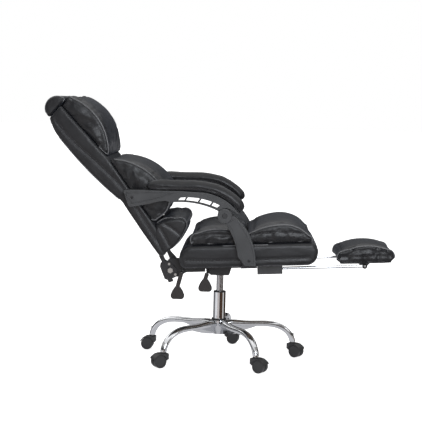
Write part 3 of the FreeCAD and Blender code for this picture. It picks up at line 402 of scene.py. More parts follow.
def tree_of(mesh: bpy.types.Mesh) -> BVHTree:
    """Returns a search tree over the mesh's faces."""
    return BVHTree.FromPolygons([v.co for v in mesh.vertices],
                                [p.vertices[:] for p in mesh.polygons])


def near_points(points: Sequence[Vector]) -> Optional[kdtree.KDTree]:
    """Returns a search tree over the points, or None where there are none."""
    if not points:
        return None
    search = kdtree.KDTree(len(points))
    for k, point in enumerate(points):
        search.insert(point, k)
    search.balance()
    return search


def lattice(cells: np.ndarray, seed: int) -> np.ndarray:
    """Returns a fixed random number from -1 to 1 for each whole-number cell."""
    wave = np.sin(cells @ np.array([127.1, 311.7, 74.7]) + seed * 17.13) * 43758.5453
    return (wave - np.floor(wave)) * 2.0 - 1.0


def noise(points: np.ndarray, seed: int) -> np.ndarray:
    """Smooth noise from -1 to 1.

    Args:
        points: places, already scaled so that one cell is one unit.
        seed: which noise.

    Returns:
        One number per place.
    """
    base = np.floor(points)
    part = points - base
    part = part * part * (3.0 - 2.0 * part)
    total = np.zeros(len(points))
    for corner in range(8):
        offset = np.array([corner & 1, (corner >> 1) & 1, (corner >> 2) & 1], dtype=float)
        weight = np.prod(np.where(offset > 0, part, 1.0 - part), axis=1)
        total += weight * lattice(base + offset, seed)
    return total


def creases(points: np.ndarray, seed: int, sharpness: float = 3.0) -> np.ndarray:
    """Returns 0 to 1, near 1 along thin winding lines."""
    return (1.0 - np.abs(noise(points, seed))) ** sharpness


# Soft pieces

# How nearly a vertex must face one of a piece's seat_side directions to count as held.
HELD_FACING = 0.82
CLOTH_FRAMES = 20
# Metres: how far a sewn edge holds the cover on its solid, the cord's radius and how deep it
# lies, and how far a ray is followed.
SEAM_HOLD = 0.012
PIPING_RADIUS = 0.0023
PIPING_SINK = 0.0004
RAY_LENGTH = 0.12
# Millimetres: from a seam to its stitches, and where the gathers fade out and set in.
PIPED_STITCH_SHIFT = 6.0
PLAIN_STITCH_SHIFT = 3.0
GATHER_REACH = 26.0
GATHER_START = 5.0


@dataclass(frozen=True)
class Filling:
    """How a cushion is remeshed, filled and kept in its place.

    Args:
        voxel: size of the new mesh's faces.
        slack: how far the starting shape is drawn in.
        pressure: the filling's push.
        growth: how much larger than its form the cover is cut, which makes it pucker.
        cap: the furthest that a point may move.
        proud: how far the finished cover may stand out of its CAD solid.
        sink: how far it may sink into it.
    """

    voxel: float = 0.006
    slack: float = 0.006
    pressure: float = 4.0
    growth: float = 0.022
    cap: float = 0.016
    proud: float = 0.0035
    sink: float = 0.0045


@dataclass(frozen=True)
class Ring:
    """A sewn edge that runs round a cushion's section at each end.

    Args:
        inset: distance from the cushion's end, in millimetres.
        start: first angle in the section, 0 to the front and 90 up.
        stop: last angle.
        piped: whether a piping cord stands on it.
    """

    inset: float
    start: float
    stop: float
    piped: bool = True


@dataclass(frozen=True)
class SideLine:
    """A seam drawn on a cushion's two end faces, as (x, z) points in millimetres."""

    points: Tuple[Point, ...]
    piped: bool = False


@dataclass
class SoftPiece:
    """One upholstered piece that stands for a CAD node.

    Args:
        node: the CAD node.
        body: the CAD body that it rides on.
        tilt: the drawing that its section is given in.
        centre: the middle of its section, in millimetres.
        seat_side: directions in the drawing that lie against other pieces.
        filling: how it is made.
        fill: how full it is, from 0 to 1; not used.
        rings: its sewn edges.
        lines: seams on its end faces.
        gather: depth of the puckers along its edges, in millimetres.
        crease: depth of the wrinkles over its surface, in millimetres.
        grain: size of the wrinkles along x, y and z, in millimetres.
        seed: which wrinkles.
        simulated: whether the filling's push is run on it.
    """

    node: str
    body: str
    tilt: Tilt
    centre: Tuple[float, float]
    seat_side: Tuple[Point, ...]
    filling: Filling = field(default_factory=Filling)
    fill: float = 0.7
    rings: Tuple[Ring, ...] = ()
    lines: Tuple[SideLine, ...] = ()
    gather: float = 2.4
    crease: float = 1.2
    grain: Tuple[float, float, float] = (46.0, 70.0, 46.0)
    seed: int = 1
    simulated: bool = True

    def build(self) -> List[bpy.types.Object]:
        """Makes the cover and its trim.

        Returns:
            The cover first, then its piping and stitches.
        """
        self.solid = self.form()
        self.solid_tree = tree_of(self.solid)
        self.sewn = self.sewn_points()
        mesh = self.remeshed()
        cover = shown(self.node + "_cover", mesh, self.body, Look.LEATHER)
        if self.node in frame["nodes"]:
            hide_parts(self.node)
        self.settle(cover)
        seams = self.seam_paths(cover.data)
        self.pucker(cover.data)
        self.carve(cover.data, [path for path, piped in seams if not piped])
        self.carve(cover.data, [path for path, piped in seams if piped], 3.0, 0.8)
        smooth_faces(cover.data)
        trim = self.trim(cover, seams)
        return [cover] + trim

    def form(self) -> bpy.types.Mesh:
        """Returns the solid that the cover follows."""
        return frame["nodes"][self.node].data

    def remeshed(self) -> bpy.types.Mesh:
        """Returns the CAD solid's surface as even small faces."""
        work = bmesh.new()
        work.from_mesh(self.solid)
        bmesh.ops.remove_doubles(work, verts=work.verts, dist=0.0001)
        mesh = bpy.data.meshes.new(self.node + "_cover")
        work.to_mesh(mesh)
        work.free()
        obj = linked("remesh_work", mesh)
        remesh = obj.modifiers.new("remesh", "REMESH")
        remesh.mode = "VOXEL"
        remesh.voxel_size = self.filling.voxel
        soften = obj.modifiers.new("soften", "SMOOTH")
        soften.factor = 0.5
        soften.iterations = 2
        return final_mesh(obj, self.node + "_cover")

    def held(self, mesh: bpy.types.Mesh) -> np.ndarray:
        """Returns which vertices lie against another piece."""
        facing = normals(mesh)
        result = np.zeros(len(facing), dtype=bool)
        for x, z in self.seat_side:
            result |= facing @ np.array(self.tilt.direction(x, z)) > HELD_FACING
        return result

    def settle(self, cover: bpy.types.Object) -> None:
        """Fills the cover and keeps it near its CAD solid."""
        mesh = cover.data
        points = coordinates(mesh)
        held = self.held(mesh)
        points -= normals(mesh) * np.where(held, 0.0004, self.filling.slack)[:, None]
        set_coordinates(mesh, points)
        if self.simulated:
            self.inflate(cover, held)
        else:
            points += normals(mesh) * np.where(held, 0.0, self.filling.slack)[:, None]
            set_coordinates(mesh, points)
        self.keep_near(cover.data, held)

    def inflate(self, cover: bpy.types.Object, held: np.ndarray) -> None:
        """Runs the filling's push on the cover and applies the result."""
        rest = coordinates(cover.data)
        group = cover.vertex_groups.new(name="held")
        group.add([int(k) for k in np.nonzero(held)[0]], 1.0, "REPLACE")
        cloth = cover.modifiers.new("filling", "CLOTH")
        settings = cloth.settings
        settings.quality = 3
        settings.mass = 0.25
        settings.tension_stiffness = 12.0
        settings.compression_stiffness = 12.0
        settings.shear_stiffness = 6.0
        settings.bending_stiffness = 0.35
        settings.use_pressure = True
        settings.uniform_pressure_force = self.filling.pressure
        settings.shrink_min = -self.filling.growth
        settings.vertex_group_mass = "held"
        settings.effector_weights.gravity = 0.0
        cloth.collision_settings.use_collision = False
        cloth.point_cache.frame_start = 1
        cloth.point_cache.frame_end = CLOTH_FRAMES
        for step in range(1, CLOTH_FRAMES + 1):
            bpy.context.scene.frame_set(step)
        shape = cover.evaluated_get(bpy.context.evaluated_depsgraph_get())
        moved = coordinates(shape.data) - rest
        cover.modifiers.clear()
        cover.vertex_groups.clear()
        length = np.linalg.norm(moved, axis=1)
        share = np.minimum(1.0, self.filling.cap / np.maximum(length, 1e-9))
        set_coordinates(cover.data, rest + moved * share[:, None])
        bpy.context.scene.frame_set(1)

    def sewn_points(self) -> Optional[kdtree.KDTree]:
        """Returns a search tree over the sewn edges on the CAD solid, if it has any."""
        half = self.half_width()
        paths = [self.ring_path(self.solid_tree, ring, side * (half - ring.inset))
                 for ring in self.rings for side in (-1.0, 1.0)]
        return near_points([point for path in paths for point in filled(path, 0.004)])

    def keep_near(self, mesh: bpy.types.Mesh, held: np.ndarray) -> None:
        """Draws each vertex into the band that the cover may fill about its CAD solid.

        The sewn edges hold the cover on the solid.
        """
        points = coordinates(mesh)
        for k, place in enumerate(points):
            near, facing, _, _ = self.solid_tree.find_nearest(Vector(place))
            out = (Vector(place) - near).dot(facing)
            high = -0.0003 if held[k] else self.filling.proud
            if out > 0.0:
                wanted = min(high, abs(high) * math.tanh(out / max(abs(high), 1e-4)))
            else:
                wanted = max(out, -self.filling.sink)
            if held[k]:
                wanted = min(wanted, high)
            elif self.sewn is not None:
                wanted *= 1.0 - math.exp(-((self.sewn.find(near)[2] / SEAM_HOLD) ** 2))
            points[k] = Vector(place) + facing * (wanted - out)
        set_coordinates(mesh, points)

    def half_width(self) -> float:
        """Returns half the CAD solid's width, in millimetres."""
        return max(abs(v.co.y) for v in self.solid.vertices) / MM

    def section(self, mesh: bpy.types.Mesh) -> Tuple[np.ndarray, np.ndarray, np.ndarray]:
        """Returns each vertex in the drawing, and its angle and distance from the centre."""
        local = self.tilt.read(coordinates(mesh))
        dx = local[:, 0] - self.centre[0]
        dz = local[:, 2] - self.centre[1]
        return local, np.degrees(np.arctan2(dz, dx)), np.hypot(dx, dz)

    def edge_distance(self, mesh: bpy.types.Mesh, inset: float) -> Tuple[np.ndarray, np.ndarray]:
        """Distance of each vertex from the sewn edge, and how far round the edge it lies.

        Args:
            mesh: the cover.
            inset: the edge's distance from the cushion's end.

        Returns:
            Both in millimetres.
        """
        local, angle, reach = self.section(mesh)
        bins = np.clip(((angle + 180.0) / 4.0).astype(int), 0, 90)
        outline = np.zeros(91)
        np.maximum.at(outline, bins, reach)
        outline = np.maximum(outline, 10.0)
        edge = outline[bins]
        end = self.half_width() - np.abs(local[:, 1])
        distance = np.hypot(np.maximum(0.0, end - inset), np.maximum(0.0, edge - reach))
        return distance, np.radians(angle) * edge

    def pucker(self, mesh: bpy.types.Mesh) -> None:
        """Gathers the cover along its sewn edges and wrinkles it elsewhere."""
        local, _, _ = self.section(mesh)
        inset = self.rings[0].inset if self.rings else 8.0
        distance, round_edge = self.edge_distance(mesh, inset)
        side = np.sign(local[:, 1]) * 40.0
        along = np.stack([round_edge / 13.0, side, distance / 60.0], axis=1)
        fine = np.stack([round_edge / 6.5, side + 9.0, distance / 35.0], axis=1)
        gathers = 0.65 * creases(along, self.seed, 2.5) + 0.35 * creases(fine, self.seed + 3, 2.0)
        start = 1.0 - np.exp(-((distance / GATHER_START) ** 2))
        depth = -self.gather * gathers * np.exp(-distance / GATHER_REACH) * start
        wrinkles = creases(local / np.array(self.grain), self.seed + 7, 4.0)
        patches = np.clip(0.5 + noise(local / 95.0, self.seed + 11), 0.0, 1.0)
        depth -= self.crease * wrinkles * patches
        depth += 0.4 * noise(local / 60.0, self.seed + 13)
        depth[self.held(mesh)] = 0.0
        set_coordinates(mesh, coordinates(mesh) + normals(mesh) * depth[:, None] * MM)

    def seam_paths(self, mesh: bpy.types.Mesh) -> List[Tuple[List[Vector], bool]]:
        """Returns each seam's points on the cover, and whether it is piped."""
        tree = tree_of(mesh)
        half = self.half_width()
        paths = []
        for ring in self.rings:
            for side in (-1.0, 1.0):
                paths.append((self.ring_path(tree, ring, side * (half - ring.inset)), ring.piped))
        for line in self.lines:
            for side in (-1.0, 1.0):
                points = [self.side_hit(tree, x, z, side) for x, z in spaced(line.points, 8.0)]
                paths.append(([p for p in points if p is not None], line.piped))
        return [(path, piped) for path, piped in paths if len(path) > 3]

    def ring_path(self, tree: BVHTree, ring: Ring, y: float) -> List[Vector]:
        """Returns where rays from the centre leave the CAD solid, moved onto the tree's faces."""
        start = self.tilt.place(self.centre[0], y, self.centre[1])
        steps = max(8, int(abs(ring.stop - ring.start) / 3.0))
        points = []
        for k in range(steps + 1):
            angle = math.radians(ring.start + (ring.stop - ring.start) * k / steps)
            ray = self.tilt.direction(math.cos(angle), math.sin(angle))
            hit = self.solid_tree.ray_cast(start, ray)[0]
            if hit is not None:
                points.append(tree.find_nearest(hit)[0])
        return points

    def side_hit(self, tree: BVHTree, x: float, z: float, side: float) -> Optional[Vector]:
        """Returns where a ray from beside the cushion first meets it."""
        start = self.tilt.place(x, side * (self.half_width() + 60.0), z)
        return tree.ray_cast(start, Vector((0.0, -side, 0.0)), RAY_LENGTH)[0]

    def carve(self, mesh: bpy.types.Mesh, paths: List[List[Vector]], width: float = 4.5,
              depth: float = 2.6) -> None:
        """Presses a channel into the cover along each seam.

        Args:
            mesh: the cover.
            paths: the seams.
            width: of the channel, in millimetres.
            depth: of the channel.
        """
        search = near_points([point for path in paths for point in filled(path, 0.002)])
        if search is None:
            return
        points = coordinates(mesh)
        facing = normals(mesh)
        for k, place in enumerate(points):
            away = search.find(place)[2] / MM
            if away < width * 3.0:
                points[k] -= facing[k] * depth * MM * math.exp(-((away / width) ** 2))
        set_coordinates(mesh, points)

    def trim(self, cover: bpy.types.Object, seams: List[Tuple[List[Vector], bool]]
             ) -> List[bpy.types.Object]:
        """Adds the piping cord and the stitches."""
        made = []
        tree = tree_of(cover.data)
        cords = [path for path, piped in seams if piped]
        if cords:
            made.append(piping(self.node + "_piping", cords, tree, self.body))
        shifts = {True: (PIPED_STITCH_SHIFT,), False: (PLAIN_STITCH_SHIFT, -PLAIN_STITCH_SHIFT)}
        rows = [offset_on(path, tree, shift) for path, piped in seams for shift in shifts[piped]]
        made.append(stitches(self.node + "_stitches", rows, tree, self.body))
        return made


def spaced(points: Iterable[Point], step: float) -> List[Point]:
    """Returns the line with its corners rounded and one point about every step."""
    corners = [np.array(p, dtype=float) for p in points]
    for _ in range(2):
        cut = [corners[0]]
        for a, b in zip(corners, corners[1:]):
            cut += [a * 0.75 + b * 0.25, a * 0.25 + b * 0.75]
        corners = cut + [corners[-1]]
    result = []
    for a, b in zip(corners, corners[1:]):
        count = max(1, int(np.linalg.norm(b - a) / step))
        result += [tuple(a + (b - a) * k / count) for k in range(count)]
    return result + [tuple(corners[-1])]


def filled(path: Sequence[Vector], step: float) -> List[Vector]:
    """Returns the path with points no further apart than step."""
    result = []
    for a, b in zip(path, path[1:]):
        count = max(1, int((b - a).length / step))
        result += [a.lerp(b, k / count) for k in range(count)]
    return result


def offset_on(path: Sequence[Vector], tree: BVHTree, shift: float) -> List[Vector]:
    """Moves a path sideways on a surface by shift millimetres and returns it."""
    result = []
    for k, place in enumerate(path):
        ahead = path[min(k + 1, len(path) - 1)] - path[max(k - 1, 0)]
        _, facing, _, _ = tree.find_nearest(place)
        across = ahead.cross(facing)
        if across.length < 1e-9:
            continue
        inward = across.normalized() * (1.0 if across.y * place.y < 0.0 else -1.0)
        near = tree.find_nearest(place + inward * shift * MM)[0]
        result.append(near)
    return result


def piping(name: str, paths: Sequence[Sequence[Vector]], tree: BVHTree, body: str
           ) -> bpy.types.Object:
    """A thin covered cord sewn into the edge, coloured lighter than the cover as a painted highlight.

    Args:
        name: the piece's name.
        paths: its lines on the cover.
        tree: the cover's faces.
        body: the CAD body that it rides on.

    Returns:
        The cord as a mesh.
    """
    lines = []
    for path in paths:
        facings = [tree.find_nearest(place)[1] for place in path]
        lines.append([place - facing * PIPING_SINK for place, facing in zip(path, facings)])
    return cord_piece(name, lines, PIPING_RADIUS, False, body, Look.PIPING_HIGHLIGHT)


def cord_piece(name: str, lines: Sequence[Sequence[Vector]], radius: float, closed: bool, body: str,
               look: Look) -> bpy.types.Object:
    """A round cord or bead along smooth lines.

    Args:
        name: the piece's name.
        lines: the control points of each line.
        radius: of the cord.
        closed: whether each line is a loop.
        body: the CAD body that it rides on.
        look: its finish.

    Returns:
        The piece.
    """
    curve = bpy.data.curves.new(name, "CURVE")
    curve.dimensions = "3D"
    curve.bevel_depth = radius
    curve.bevel_resolution = 3
    curve.resolution_u = 3
    curve.use_fill_caps = not closed
    for line in lines:
        spline = curve.splines.new("NURBS")
        spline.points.add(len(line) - 1)
        for point, place in zip(spline.points, line):
            point.co = (*place, 1.0)
        spline.order_u = 3 if closed else 4
        spline.use_cyclic_u = closed
        spline.use_endpoint_u = not closed
    mesh = final_mesh(linked("curve_work", curve), name)
    smooth_faces(mesh)
    return shown(name, mesh, body, look)


def stitches(name: str, paths: Sequence[Sequence[Vector]], tree: BVHTree, body: str
             ) -> bpy.types.Object:
    """Rows of short raised thread, each a small six-pointed grain.

    Args:
        name: the piece's name.
        paths: the rows' lines on the cover.
        tree: the cover's faces.
        body: the CAD body that it rides on.

    Returns:
        All the rows as one mesh.
    """
    length, width, pitch = 0.0036, 0.0011, 0.0056
    corners: List[Vector] = []
    faces: List[Tuple[int, int, int]] = []
    for path in paths:
        places = filled(path, 0.0014)
        gone = pitch
        for a, b in zip(places, places[1:]):
            gone += (b - a).length
            if gone < pitch:
                continue
            gone = 0.0
            near, facing, _, _ = tree.find_nearest(a)
            ahead = (b - a).normalized()
            across = ahead.cross(facing).normalized()
            base = len(corners)
            half, side = ahead * length / 2, across * width / 2
            corners += [near - half, near + half, near + side, near - side,
                        near + facing * width * 0.8, near - facing * width * 0.5]
            for p, q in ((2, 4), (4, 3), (3, 5), (5, 2)):
                faces += [(base, base + q, base + p), (base + 1, base + p, base + q)]
    mesh = bpy.data.meshes.new(name)
    mesh.from_pydata(corners, [], faces)
    smooth_faces(mesh)
    return shown(name, mesh, body, Look.THREAD)


# Sub-assemblies

DOWN, UP, REAR, FRONT = (0.0, -1.0), (0.0, 1.0), (-1.0, 0.0), (1.0, 0.0)


@dataclass
class SeatCushions:
    """The seat's boxed body and its two pillows."""

    pillow_inset: float = 7.0
    body_seam: Tuple[Point, ...] = ((-128.0, 30.0), (60.0, 26.0), (350.0, 30.0))
    rear_seam: Tuple[Point, ...] = (
        (-104.0, 118.0), (-60.0, 124.0), (0.0, 126.0), (60.0, 124.0), (100.0, 118.0))
    front_seam: Tuple[Point, ...] = (
        (118.0, 120.0), (150.0, 126.0), (240.0, 128.0), (330.0, 124.0), (360.0, 110.0))

    def build(self) -> List[bpy.types.Object]:
        """Returns the pieces."""
        body = SoftPiece(
            "seat_body", "seat", SEAT, centre=(108.0, 44.0), seat_side=(DOWN, UP),
            filling=Filling(voxel=0.0065, slack=0.002), fill=0.8,
            rings=(Ring(6.0, 156.0, 26.0), Ring(6.0, 204.0, 334.0, False)),
            lines=(SideLine(self.body_seam),), gather=1.8, crease=0.9, grain=(120.0, 90.0, 26.0),
            seed=21, simulated=False)
        edge = Ring(self.pillow_inset, 190.0, -10.0)
        rear = SoftPiece(
            "seat_rear_pillow", "seat", SEAT, centre=(0.0, 112.0), seat_side=(DOWN,), fill=0.75,
            rings=(edge,), lines=(SideLine(self.rear_seam),), gather=2.6, crease=1.0,
            grain=(40.0, 80.0, 40.0), seed=22)
        front = SoftPiece(
            "seat_front_pillow", "seat", SEAT, centre=(240.0, 112.0), seat_side=(DOWN,), fill=0.75,
            rings=(edge,), lines=(SideLine(self.front_seam),), gather=2.6, crease=1.0,
            grain=(44.0, 80.0, 44.0), seed=23)
        return body.build() + rear.build() + front.build()


@dataclass
class BackCushions:
    """The backrest's shell, cap, head pillow, middle cushion and lumbar roll.

    Args:
        squeeze: how thin the lumbar roll gets when the backrest stands up; not used.
        squeeze_anchor: the place in the drawing that it is pressed towards.
        shell_seam: the seam along the shell's sides.
        middle_seam: the seam on the middle cushion's ends.
        lumbar_seams: the two seams on the lumbar roll's ends.
        panel_outline: the outline of the side panels.
        panel_seams: the two seams on each side panel.
        panel_near: the panels' inner face, from the chair's middle plane.
        panel_far: their outer face.
    """

    squeeze: float = 0.25
    squeeze_anchor: Place = (36.0, 0.0, 130.0)
    shell_seam: Tuple[Point, ...] = (
        (-48.0, 730.0), (-38.0, 640.0), (-4.0, 520.0), (26.0, 400.0), (34.0, 300.0), (30.0, 190.0),
        (26.0, 90.0))
    middle_seam: Tuple[Point, ...] = ((52.0, 285.0), (79.0, 232.0), (104.0, 206.0))
    lumbar_seams: Tuple[Tuple[Point, ...], ...] = (
        ((66.0, 164.0), (62.0, 130.0), (60.0, 90.0)), ((90.0, 176.0), (104.0, 140.0), (116.0, 100.0)))
    panel_outline: Tuple[Point, ...] = (
        (20.0, 72.0), (60.0, 74.0), (100.0, 84.0), (150.0, 110.0), (168.0, 134.0), (150.0, 158.0),
        (110.0, 178.0), (70.0, 184.0), (52.0, 176.0), (34.0, 160.0), (26.0, 110.0))
    panel_seams: Tuple[Tuple[Point, ...], ...] = (
        ((66.0, 166.0), (63.0, 130.0), (59.0, 84.0)), ((84.0, 178.0), (104.0, 142.0), (118.0, 98.0)))
    panel_near: float = 224.0
    panel_far: float = 237.0

    def build(self) -> List[bpy.types.Object]:
        """Returns the pieces."""
        shell = SoftPiece(
            "back_shell", "backrest", BACK, centre=(6.0, 430.0), seat_side=(FRONT,),
            filling=Filling(voxel=0.0065, slack=0.002), fill=0.6, rings=(Ring(5.0, 108.0, 262.0),),
            lines=(SideLine(self.shell_seam),), gather=1.6, crease=0.9, grain=(60.0, 130.0, 90.0),
            seed=31, simulated=False)
        cap = SoftPiece(
            "back_cap", "backrest", BACK, centre=(-22.0, 782.0), seat_side=(DOWN,),
            filling=Filling(voxel=0.0055), fill=0.6, rings=(Ring(6.0, 190.0, -10.0),), gather=1.2,
            crease=0.6, grain=(30.0, 60.0, 30.0), seed=32, simulated=False)
        head = SoftPiece(
            "head_pillow", "backrest", BACK, centre=(50.0, 645.0), seat_side=(REAR,),
            rings=(Ring(8.0, 96.0, -98.0),), gather=4.2, crease=1.7, grain=(50.0, 90.0, 34.0), seed=33)
        middle = SoftPiece(
            "mid_cushion", "backrest", BACK, centre=(88.0, 330.0), seat_side=(REAR,),
            rings=(Ring(8.0, 100.0, -105.0),), lines=(SideLine(self.middle_seam),), gather=4.2,
            crease=1.7, grain=(50.0, 90.0, 34.0), seed=34)
        lumbar = SoftPiece(
            "lumbar_roll", "backrest", BACK, centre=(98.0, 134.0), seat_side=(REAR,),
            filling=Filling(voxel=0.0055), rings=(Ring(8.0, 120.0, -125.0),),
            lines=tuple(SideLine(seam) for seam in self.lumbar_seams), gather=2.4, crease=1.4,
            grain=(40.0, 60.0, 40.0), seed=35)
        pieces = shell.build() + cap.build() + head.build() + middle.build()
        roll = lumbar.build() + self.side_panels()
        for piece in roll:
            BACK.place(*self.squeeze_anchor)
            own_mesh(piece)
        return pieces + roll

    def side_panels(self) -> List[bpy.types.Object]:
        """Returns the leather that joins the lumbar roll's ends to the shell."""
        made = []
        for side, sign in (("left", 1.0), ("right", -1.0)):
            panel = PanelPiece(
                "lumbar_%s_panel" % side, "backrest", BACK, centre=(90.0, 128.0),
                seat_side=((0.0, 0.0),), filling=Filling(voxel=0.0045, slack=0.001), fill=0.5,
                lines=tuple(SideLine(seam) for seam in self.panel_seams), gather=0.0, crease=1.0,
                grain=(40.0, 60.0, 40.0), seed=36, simulated=False, outline=self.panel_outline,
                near=sign * self.panel_near, far=sign * self.panel_far)
            made += panel.build()
        return made


@dataclass
class PanelPiece(SoftPiece):
    """A thin padded panel with its own outline, standing for no CAD node.

    Args:
        outline: its corners, as (x, z) points in millimetres.
        near: its inner face along y, in millimetres.
        far: its outer face along y.
    """

    outline: Tuple[Point, ...] = ()
    near: float = 0.0
    far: float = 1.0

    def form(self) -> bpy.types.Mesh:
        """Returns the outline as a plate with rounded outer edges."""
        points = spaced(self.outline + self.outline[:1], 6.0)[:-1]
        middle = np.mean(np.array(points), axis=0)
        rows = ((self.near, 1.0), (self.near * 0.3 + self.far * 0.7, 1.0), (self.far, 0.93))
        corners = []
        for y, share in rows:
            for x, z in points:
                drawn_in = middle + (np.array((x, z)) - middle) * share
                corners.append(self.tilt.place(drawn_in[0], y, drawn_in[1]))
        count = len(points)
        faces = [tuple(reversed(range(count))), tuple(range(2 * count, 3 * count))]
        for row in range(2):
            for k in range(count):
                a, b = row * count + k, row * count + (k + 1) % count
                faces.append((a, b, b + count, a + count))
        mesh = bpy.data.meshes.new(self.node)
        mesh.from_pydata(corners, [], faces)
        work = bmesh.new()
        work.from_mesh(mesh)
        bmesh.ops.triangulate(work, faces=work.faces)
        bmesh.ops.recalc_face_normals(work, faces=work.faces)
        work.to_mesh(mesh)
        work.free()
        return mesh

    def side_hit(self, tree: BVHTree, x: float, z: float, side: float) -> Optional[Vector]:
        """Returns where a ray from outside meets the panel, on its own side only."""
        if side * self.far < 0.0:
            return None
        return super().side_hit(tree, x, z, side)


@dataclass
class ArmPads:
    """The two upholstered armrest pads."""

    filling: Filling = Filling(voxel=0.0052, slack=0.002, growth=0.012, cap=0.010, proud=0.002,
                               sink=0.003)

    def build(self) -> List[bpy.types.Object]:
        """Returns the pieces."""
        made = []
        for side in ("left", "right"):
            pad = ArmPadPiece(
                side + "_arm_pad", side + "_armrest", LEVEL, centre=(-100.0, 700.0), seat_side=(DOWN,),
                filling=self.filling, fill=0.75, gather=0.0, crease=1.1, grain=(15.0, 60.0, 50.0),
                seed=41)
            made += pad.build()
        return made


@dataclass
class ArmPadPiece(SoftPiece):
    """A pad whose seams run along its length, not round its ends.

    Args:
        spine: points inside the pad at its seams' height.
        reach: how far outside the pad's middle the search for its side starts.
    """

    spine: Tuple[Point, ...] = (
        (-262.0, 705.0), (-190.0, 706.0), (-110.0, 706.0), (-60.0, 703.0), (-8.0, 690.0), (34.0, 664.0),
        (62.0, 638.0))
    reach: float = 0.09

    def seam_paths(self, mesh: bpy.types.Mesh) -> List[Tuple[List[Vector], bool]]:
        """Returns a seam low on each long side."""
        tree = tree_of(mesh)
        middle = sum(v.co.y for v in self.solid.vertices) / len(self.solid.vertices)
        paths = []
        for side in (-1.0, 1.0):
            inward = Vector((0.0, -side, 0.0))
            starts = [Vector((x * MM, middle + side * self.reach, z * MM))
                      for x, z in spaced(self.spine, 8.0)]
            hits = [tree.ray_cast(start, inward, RAY_LENGTH)[0] for start in starts]
            paths.append(([hit for hit in hits if hit is not None], False))
        return [path for path in paths if len(path[0]) > 3]


@dataclass
class FootrestPad:
    """The cushioned pad on the sliding footrest."""

    seam: Tuple[Point, ...] = ((474.0, 14.0), (570.0, 16.0), (674.0, 14.0))

    def build(self) -> List[bpy.types.Object]:
        """Returns the pieces."""
        pad = SoftPiece(
            "footrest_pad", "footrest_cushion", SEAT, centre=(572.0, 20.0), seat_side=(DOWN,),
            filling=Filling(voxel=0.005), fill=0.75, rings=(Ring(7.0, 188.0, -8.0),),
            lines=(SideLine(self.seam),), gather=2.2, crease=1.1, grain=(40.0, 60.0, 40.0), seed=51)
        return pad.build()


@dataclass(frozen=True)
class ScrewHead:
    """A small domed screw head with a hexagon socket.

    Args:
        radius: of the head, in millimetres.
        height: of the dome, in millimetres.
        sides: how many faces go round it.
        socket: the share of the radius that the hexagon takes.
        profile: its section, as shares of the radius and the height.
    """

    radius: float = 5.5
    height: float = 2.4
    sides: int = 24
    socket: float = 0.52
    profile: Tuple[Point, ...] = (
        (1.0, -0.3), (1.0, 0.3), (0.93, 0.62), (0.75, 0.88), (0.55, 1.0), (0.5, 0.95), (0.46, 0.2),
        (0.0, 0.2))

    def build(self, name: str, body: str, x: float, y: float, z: float) -> bpy.types.Object:
        """Lathes the head about +Y, looking outwards.

        Args:
            name: the piece's name.
            body: the CAD body that it rides on.
            x: place in millimetres.
            y: place in millimetres, on the face that it sits on.
            z: place in millimetres.

        Returns:
            The piece.
        """
        outward = 1.0 if y > 0 else -1.0
        count = self.sides
        corners = []
        for reach, up in self.profile:
            for k in range(count):
                turn = 2.0 * math.pi * k / count
                r = self.radius * reach
                if reach < self.socket:
                    r *= 0.88 / math.cos((turn % (math.pi / 3.0)) - math.pi / 6.0)
                corners.append(((x + r * math.cos(turn)) * MM, (y + outward * up * self.height) * MM,
                                (z + r * math.sin(turn)) * MM))
        faces = []
        for ring in range(len(self.profile) - 1):
            for k in range(count):
                a, b = ring * count + k, ring * count + (k + 1) % count
                face = (a, b, b + count, a + count)
                faces.append(face if outward < 0 else face[::-1])
        mesh = bpy.data.meshes.new(name)
        mesh.from_pydata(corners, [], faces)
        smooth_faces(mesh)
        return shown(name, mesh, body, Look.STEEL)


